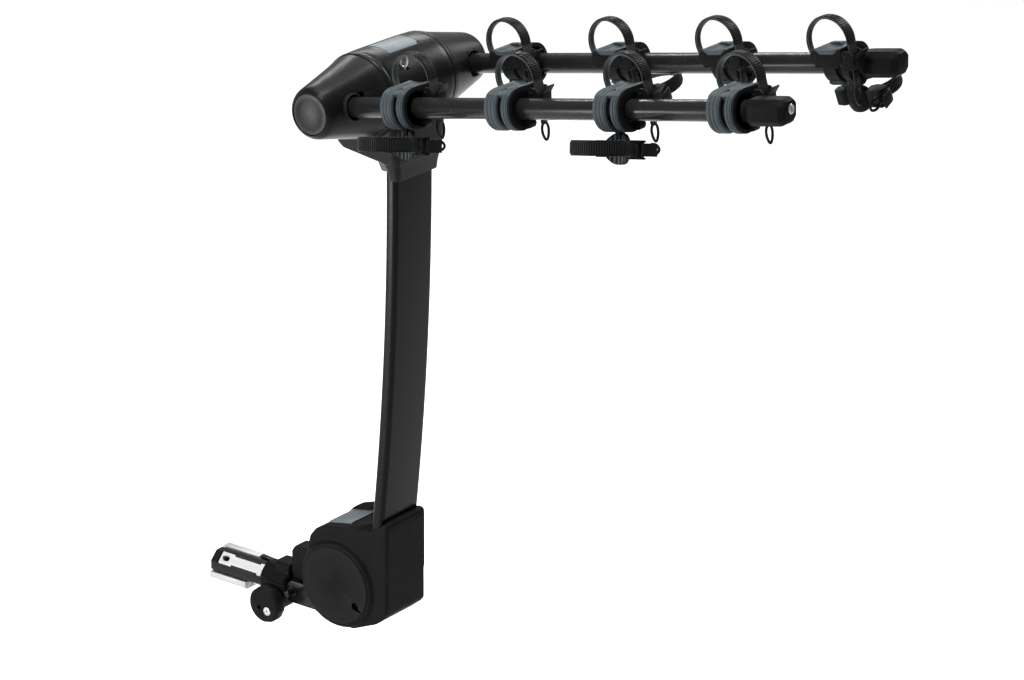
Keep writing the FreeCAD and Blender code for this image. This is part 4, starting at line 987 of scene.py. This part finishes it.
def cage_shell(outer, inner, start, end, steps, shrink=0.0):
    loops = []
    for i in range(steps + 1):
        degrees = start + (end - start) * i / steps
        a = math.radians(degrees)
        h = pad_half_height(degrees) - shrink
        loop = []
        for r, v in ((inner, -1), (outer - 1.2, -1), (outer, -0.86), (outer + 1.2, -0.3), (outer + 1.2, 0.3),
                     (outer, 0.86), (outer - 1.2, 1), (inner, 1)):
            loop.append((CAGE_PAD_X + r * math.cos(a), CAGE_Y + r * math.sin(a), CAGE_MID + h * v))
        loops.append(loop)
    return skin(loops)


def cage_shapes():
    shapes = []
    profile = [(0.6, 14.7), (0.6, 19.2), (1.2, 19.8), (6.8, 19.8), (7.4, 19.2), (7.4, 14.7)]
    stem = prism_y(rounded([(-6, -38), (-8, -28), (-6, -14), (5, -14), (7, -26), (1, -38)], 3, 4), 0.6, 7.4)
    shapes.append(("ring", join(revolve_y(profile, 0, 0, 56), stem), PLASTIC, 0.5))
    shapes.append(("pad", cage_shell(26.2, 20.6, 125, 235, 40), PLASTIC, 0.0))
    ribs = []
    for k in range(5):
        centre = 145 + 17.5 * k
        ribs.append(cage_shell(24.0, 19.4, centre - 2.9, centre + 2.9, 4, 1.4))
    shapes.append(("ribs", join(*ribs), SOFT, 0.0))
    outline = rounded([(-4, 21), (11, 22), (15, 30), (13, 45.6), (2, 47), (-6, 42)], 2.4, 4)
    cheeks = [prism_z(outline, CAGE_MID + low, CAGE_MID + low + 2.8) for low in (-13.4, 8.6)]
    body = rounded([(-3, 20.5), (10, 22), (13, 30), (13, 42), (-2, 43.4)], 2, 3)
    cheeks.append(prism_z(body, CAGE_MID - 12, CAGE_MID + 10))
    shapes.append(("clasp", join(*cheeks), PLASTIC, 0.6))
    turn = Matrix(((0, 1, 0, CAGE_STRAP_X), (0, 0, 1, CAGE_Y), (1, 0, 0, CAGE_MID), (0, 0, 0, 1)))
    belt = toothed_belt(0, 0, CAGE_STRAP_R, -129, 128, -STRAP_HALF, STRAP_HALF, CAGE_TOOTH)
    lead = prism_z([(14.6, -27.2), (-2.0, -26.6), (-2.0, -24.2), (14.2, -24.6)], CAGE_MID - 9, CAGE_MID + 9)
    shapes.append(("belt", join(moved(belt, turn), lead), RUBBER, 0.0))
    lay = Matrix(((0, 0, 1, 0.0), (0, 1, 0, 42.4), (1, 0, 0, CAGE_MID), (0, 0, 0, 1)))
    shapes.append(("tail", moved(strap_tail(0, 0, 0, -34, 12), lay), RUBBER, 0.35))

    def place(w, r, a):
        return (CAGE_STRAP_X + r * math.cos(a), CAGE_Y + r * math.sin(a), CAGE_MID + w)

    shapes.append(("liner", strap_liner(CAGE_STRAP_R, place, -122, 88, 36), SOFT, 0.0))
    foot = rounded([(-3, -28), (8, -28), (10, -24), (4, -15), (-3, -11), (-5, -16)], 2, 3)
    shapes.append(("foot", prism_z(foot, CAGE_MID - 11, CAGE_MID + 11), PLASTIC, 0.8))
    return shapes


def cage_lever_shape():
    outline = [(-2.5, 47.6), (10.5, 46.4), (13.0, 50), (4, 53), (-14, 55), (-14.5, 52.6), (-2.5, 50.2)]
    return prism_z(rounded(outline, 0.9, 3), CAGE_MID - 9.4, CAGE_MID + 7.6)


def template(name, shape, mat, edge, mirror):
    """A mesh shared by every copy of one moulded piece."""
    obj = make(name, mirrored(shape) if mirror else shape)
    if edge:
        bevel(obj, edge, 2)
    obj.data.materials.clear()
    obj.data.materials.append(mat)
    shade(obj)
    mesh = obj.data
    bpy.data.objects.remove(obj)
    return mesh


def copy_piece(name, mesh, mat, matrix, body, replaces=()):
    obj = new_object(name, mesh)
    obj.matrix_world = matrix
    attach(obj, body)
    if replaces:
        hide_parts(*replaces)
    return obj


def arm_place(side, distance):
    matrix = arm_matrix(side, distance)
    matrix.translation = matrix.translation * MM
    return matrix


def build_cradles():
    stands_for = {"sleeve": ["cradle_bodies"], "seat": ["cradle_pads"], "belt": ["cradle_straps"]}
    for side, name in ((-1, "left"), (1, "right")):
        parts = [(part, template("cradle_%s_%s" % (part, name), shape, mat, edge, side > 0), mat)
                 for part, shape, mat, edge in cradle_shapes()]
        lever = template("cradle_lever_" + name, cradle_lever(), PLASTIC, 0.5, side > 0)
        for i in range(4):
            place = arm_place(side, CRADLE_FIRST + i * CRADLE_PITCH)
            for part, mesh, mat in parts:
                replaces = stands_for.get(part, ()) if side < 0 and i == 0 else ()
                copy_piece("cradle_%s_%s_%d" % (part, name, i + 1), mesh, mat, place, "arms", replaces)
            body = "buckle_lever_%s_%d" % (name, i + 1)
            copy_piece("ratchet_%s_%d" % (name, i + 1), lever, PLASTIC, place, body, [body])


def build_cages():
    tilt = Matrix.Rotation(-CAGE_TILT, 4, "Y")
    for side, name in ((-1, "left"), (1, "right")):
        parts = [(part, template("cage_%s_%s" % (part, name), moved(shape, tilt), mat, edge, side > 0), mat)
                 for part, shape, mat, edge in cage_shapes()]
        lever = template("cage_tab_" + name, moved(cage_lever_shape(), tilt), PLASTIC, 0.5, side > 0)
        for where in CAGES:
            if not where.startswith(name):
                continue
            station = int(where[-1])
            place = arm_place(side, CRADLE_FIRST + (station - 1) * CRADLE_PITCH)
            stands_for = {"pad": ["cage_frame_" + where], "belt": ["cage_strap_" + where]}
            for part, mesh, mat in parts:
                replaces = stands_for.get(part, ())
                copy_piece("cage_%s_%s" % (part, where), mesh, mat, place, "cage_" + where, replaces)
            body = "cage_lever_" + where
            copy_piece("cage_tab_" + where, lever, PLASTIC, place, body, [body])


# ---- CAD nodes that stay ----
def dress_cad_nodes():
    finishes = {"black_steel": POWDER, "black_plastic": PLASTIC, "grey_plastic": GREY,
                "grey_elastomer": SOFT, "strap_rubber": RUBBER, "bright_aluminium": ALLOY,
                "zinc_steel": ZINC, "lock_metal": LOCK}
    for name, obj in frame["nodes"].items():
        slot_name = obj.data.materials[0].name.split(".")[0]
        if name in ("yoke_bolts", "lock_nuts"):
            slot_name = "black_steel"
        for i in range(len(obj.data.materials)):
            obj.data.materials[i] = finishes[slot_name]


# ---- stage, light and camera ----
def area_light(name, place, target, size, power):
    data = bpy.data.lights.new(name, "AREA")
    data.shape = "RECTANGLE"
    data.size = size[0]
    data.size_y = size[1]
    data.energy = power
    obj = bpy.data.objects.new(name, data)
    bpy.context.scene.collection.objects.link(obj)
    obj.location = Vector(place)
    aim = Vector(target) - Vector(place)
    obj.rotation_euler = aim.to_track_quat("-Z", "Y").to_euler()


def build_stage():
    r = FLOOR_REACH
    corners = [(-r, -r, FLOOR_Z), (r, -r, FLOOR_Z), (r, r, FLOOR_Z), (-r, r, FLOOR_Z)]
    floor = make("floor", (corners, [(0, 1, 2, 3)]))
    pale = bpy.data.materials.new("pale_floor")
    pale.use_nodes = True
    shader = pale.node_tree.nodes["Principled BSDF"]
    shader.inputs["Base Color"].default_value = (0.93, 0.93, 0.93, 1.0)
    shader.inputs["Roughness"].default_value = 0.9
    floor.data.materials.append(pale)

    world = bpy.data.worlds.new("studio")
    bpy.context.scene.world = world
    world.use_nodes = True
    background = world.node_tree.nodes["Background"]
    background.inputs["Color"].default_value = (1.0, 1.0, 1.0, 1.0)
    background.inputs["Strength"].default_value = 0.42
    sky = bpy.data.lights.new("sky", "SUN")
    sky.energy = 1.75
    sky.angle = math.radians(40)
    lamp = bpy.data.objects.new("sky", sky)
    bpy.context.scene.collection.objects.link(lamp)
    lamp.rotation_euler = (math.radians(-12), math.radians(8), 0)
    area_light("key_left", (-2.8, 0.6, 1.1), (0, -0.4, 0.45), (0.14, 2.2), 40)
    area_light("low_left", (-2.3, 1.3, 0.15), (0, -0.36, 0.35), (0.5, 0.9), 62)
    area_light("overhead", (-0.5, -0.6, 3.0), (0, -0.6, 0.7), (0.10, 2.8), 110)
    area_light("right_sheen", (3.0, -0.9, 2.4), (0, -0.35, 0.85), (0.9, 0.9), 60)
    area_light("front_right", (2.2, 1.5, 2.5), (0, -0.6, 0.85), (2.2, 0.14), 60)


def build_camera():
    data = bpy.data.cameras.new("camera")
    data.sensor_width = 36.0
    data.lens = CAMERA_LENS
    data.clip_end = 50.0
    camera = bpy.data.objects.new("camera", data)
    bpy.context.scene.collection.objects.link(camera)
    camera.location = CAMERA_PLACE
    camera.rotation_euler = (math.radians(90 - CAMERA_PITCH), 0.0, math.radians(-CAMERA_YAW))
    bpy.context.scene.camera = camera


# ---- build ----
dress_cad_nodes()
build_shank()
build_shims()
build_collar()
build_knob()
build_yoke()
build_mast()
build_base()
build_head()
build_skirt()
build_eyelet()
build_cones()
build_arms()
build_cradles()
build_cages()
build_stage()
build_camera()

bpy.context.view_layer.update()
bpy.context.scene.view_settings.view_transform = "Standard"
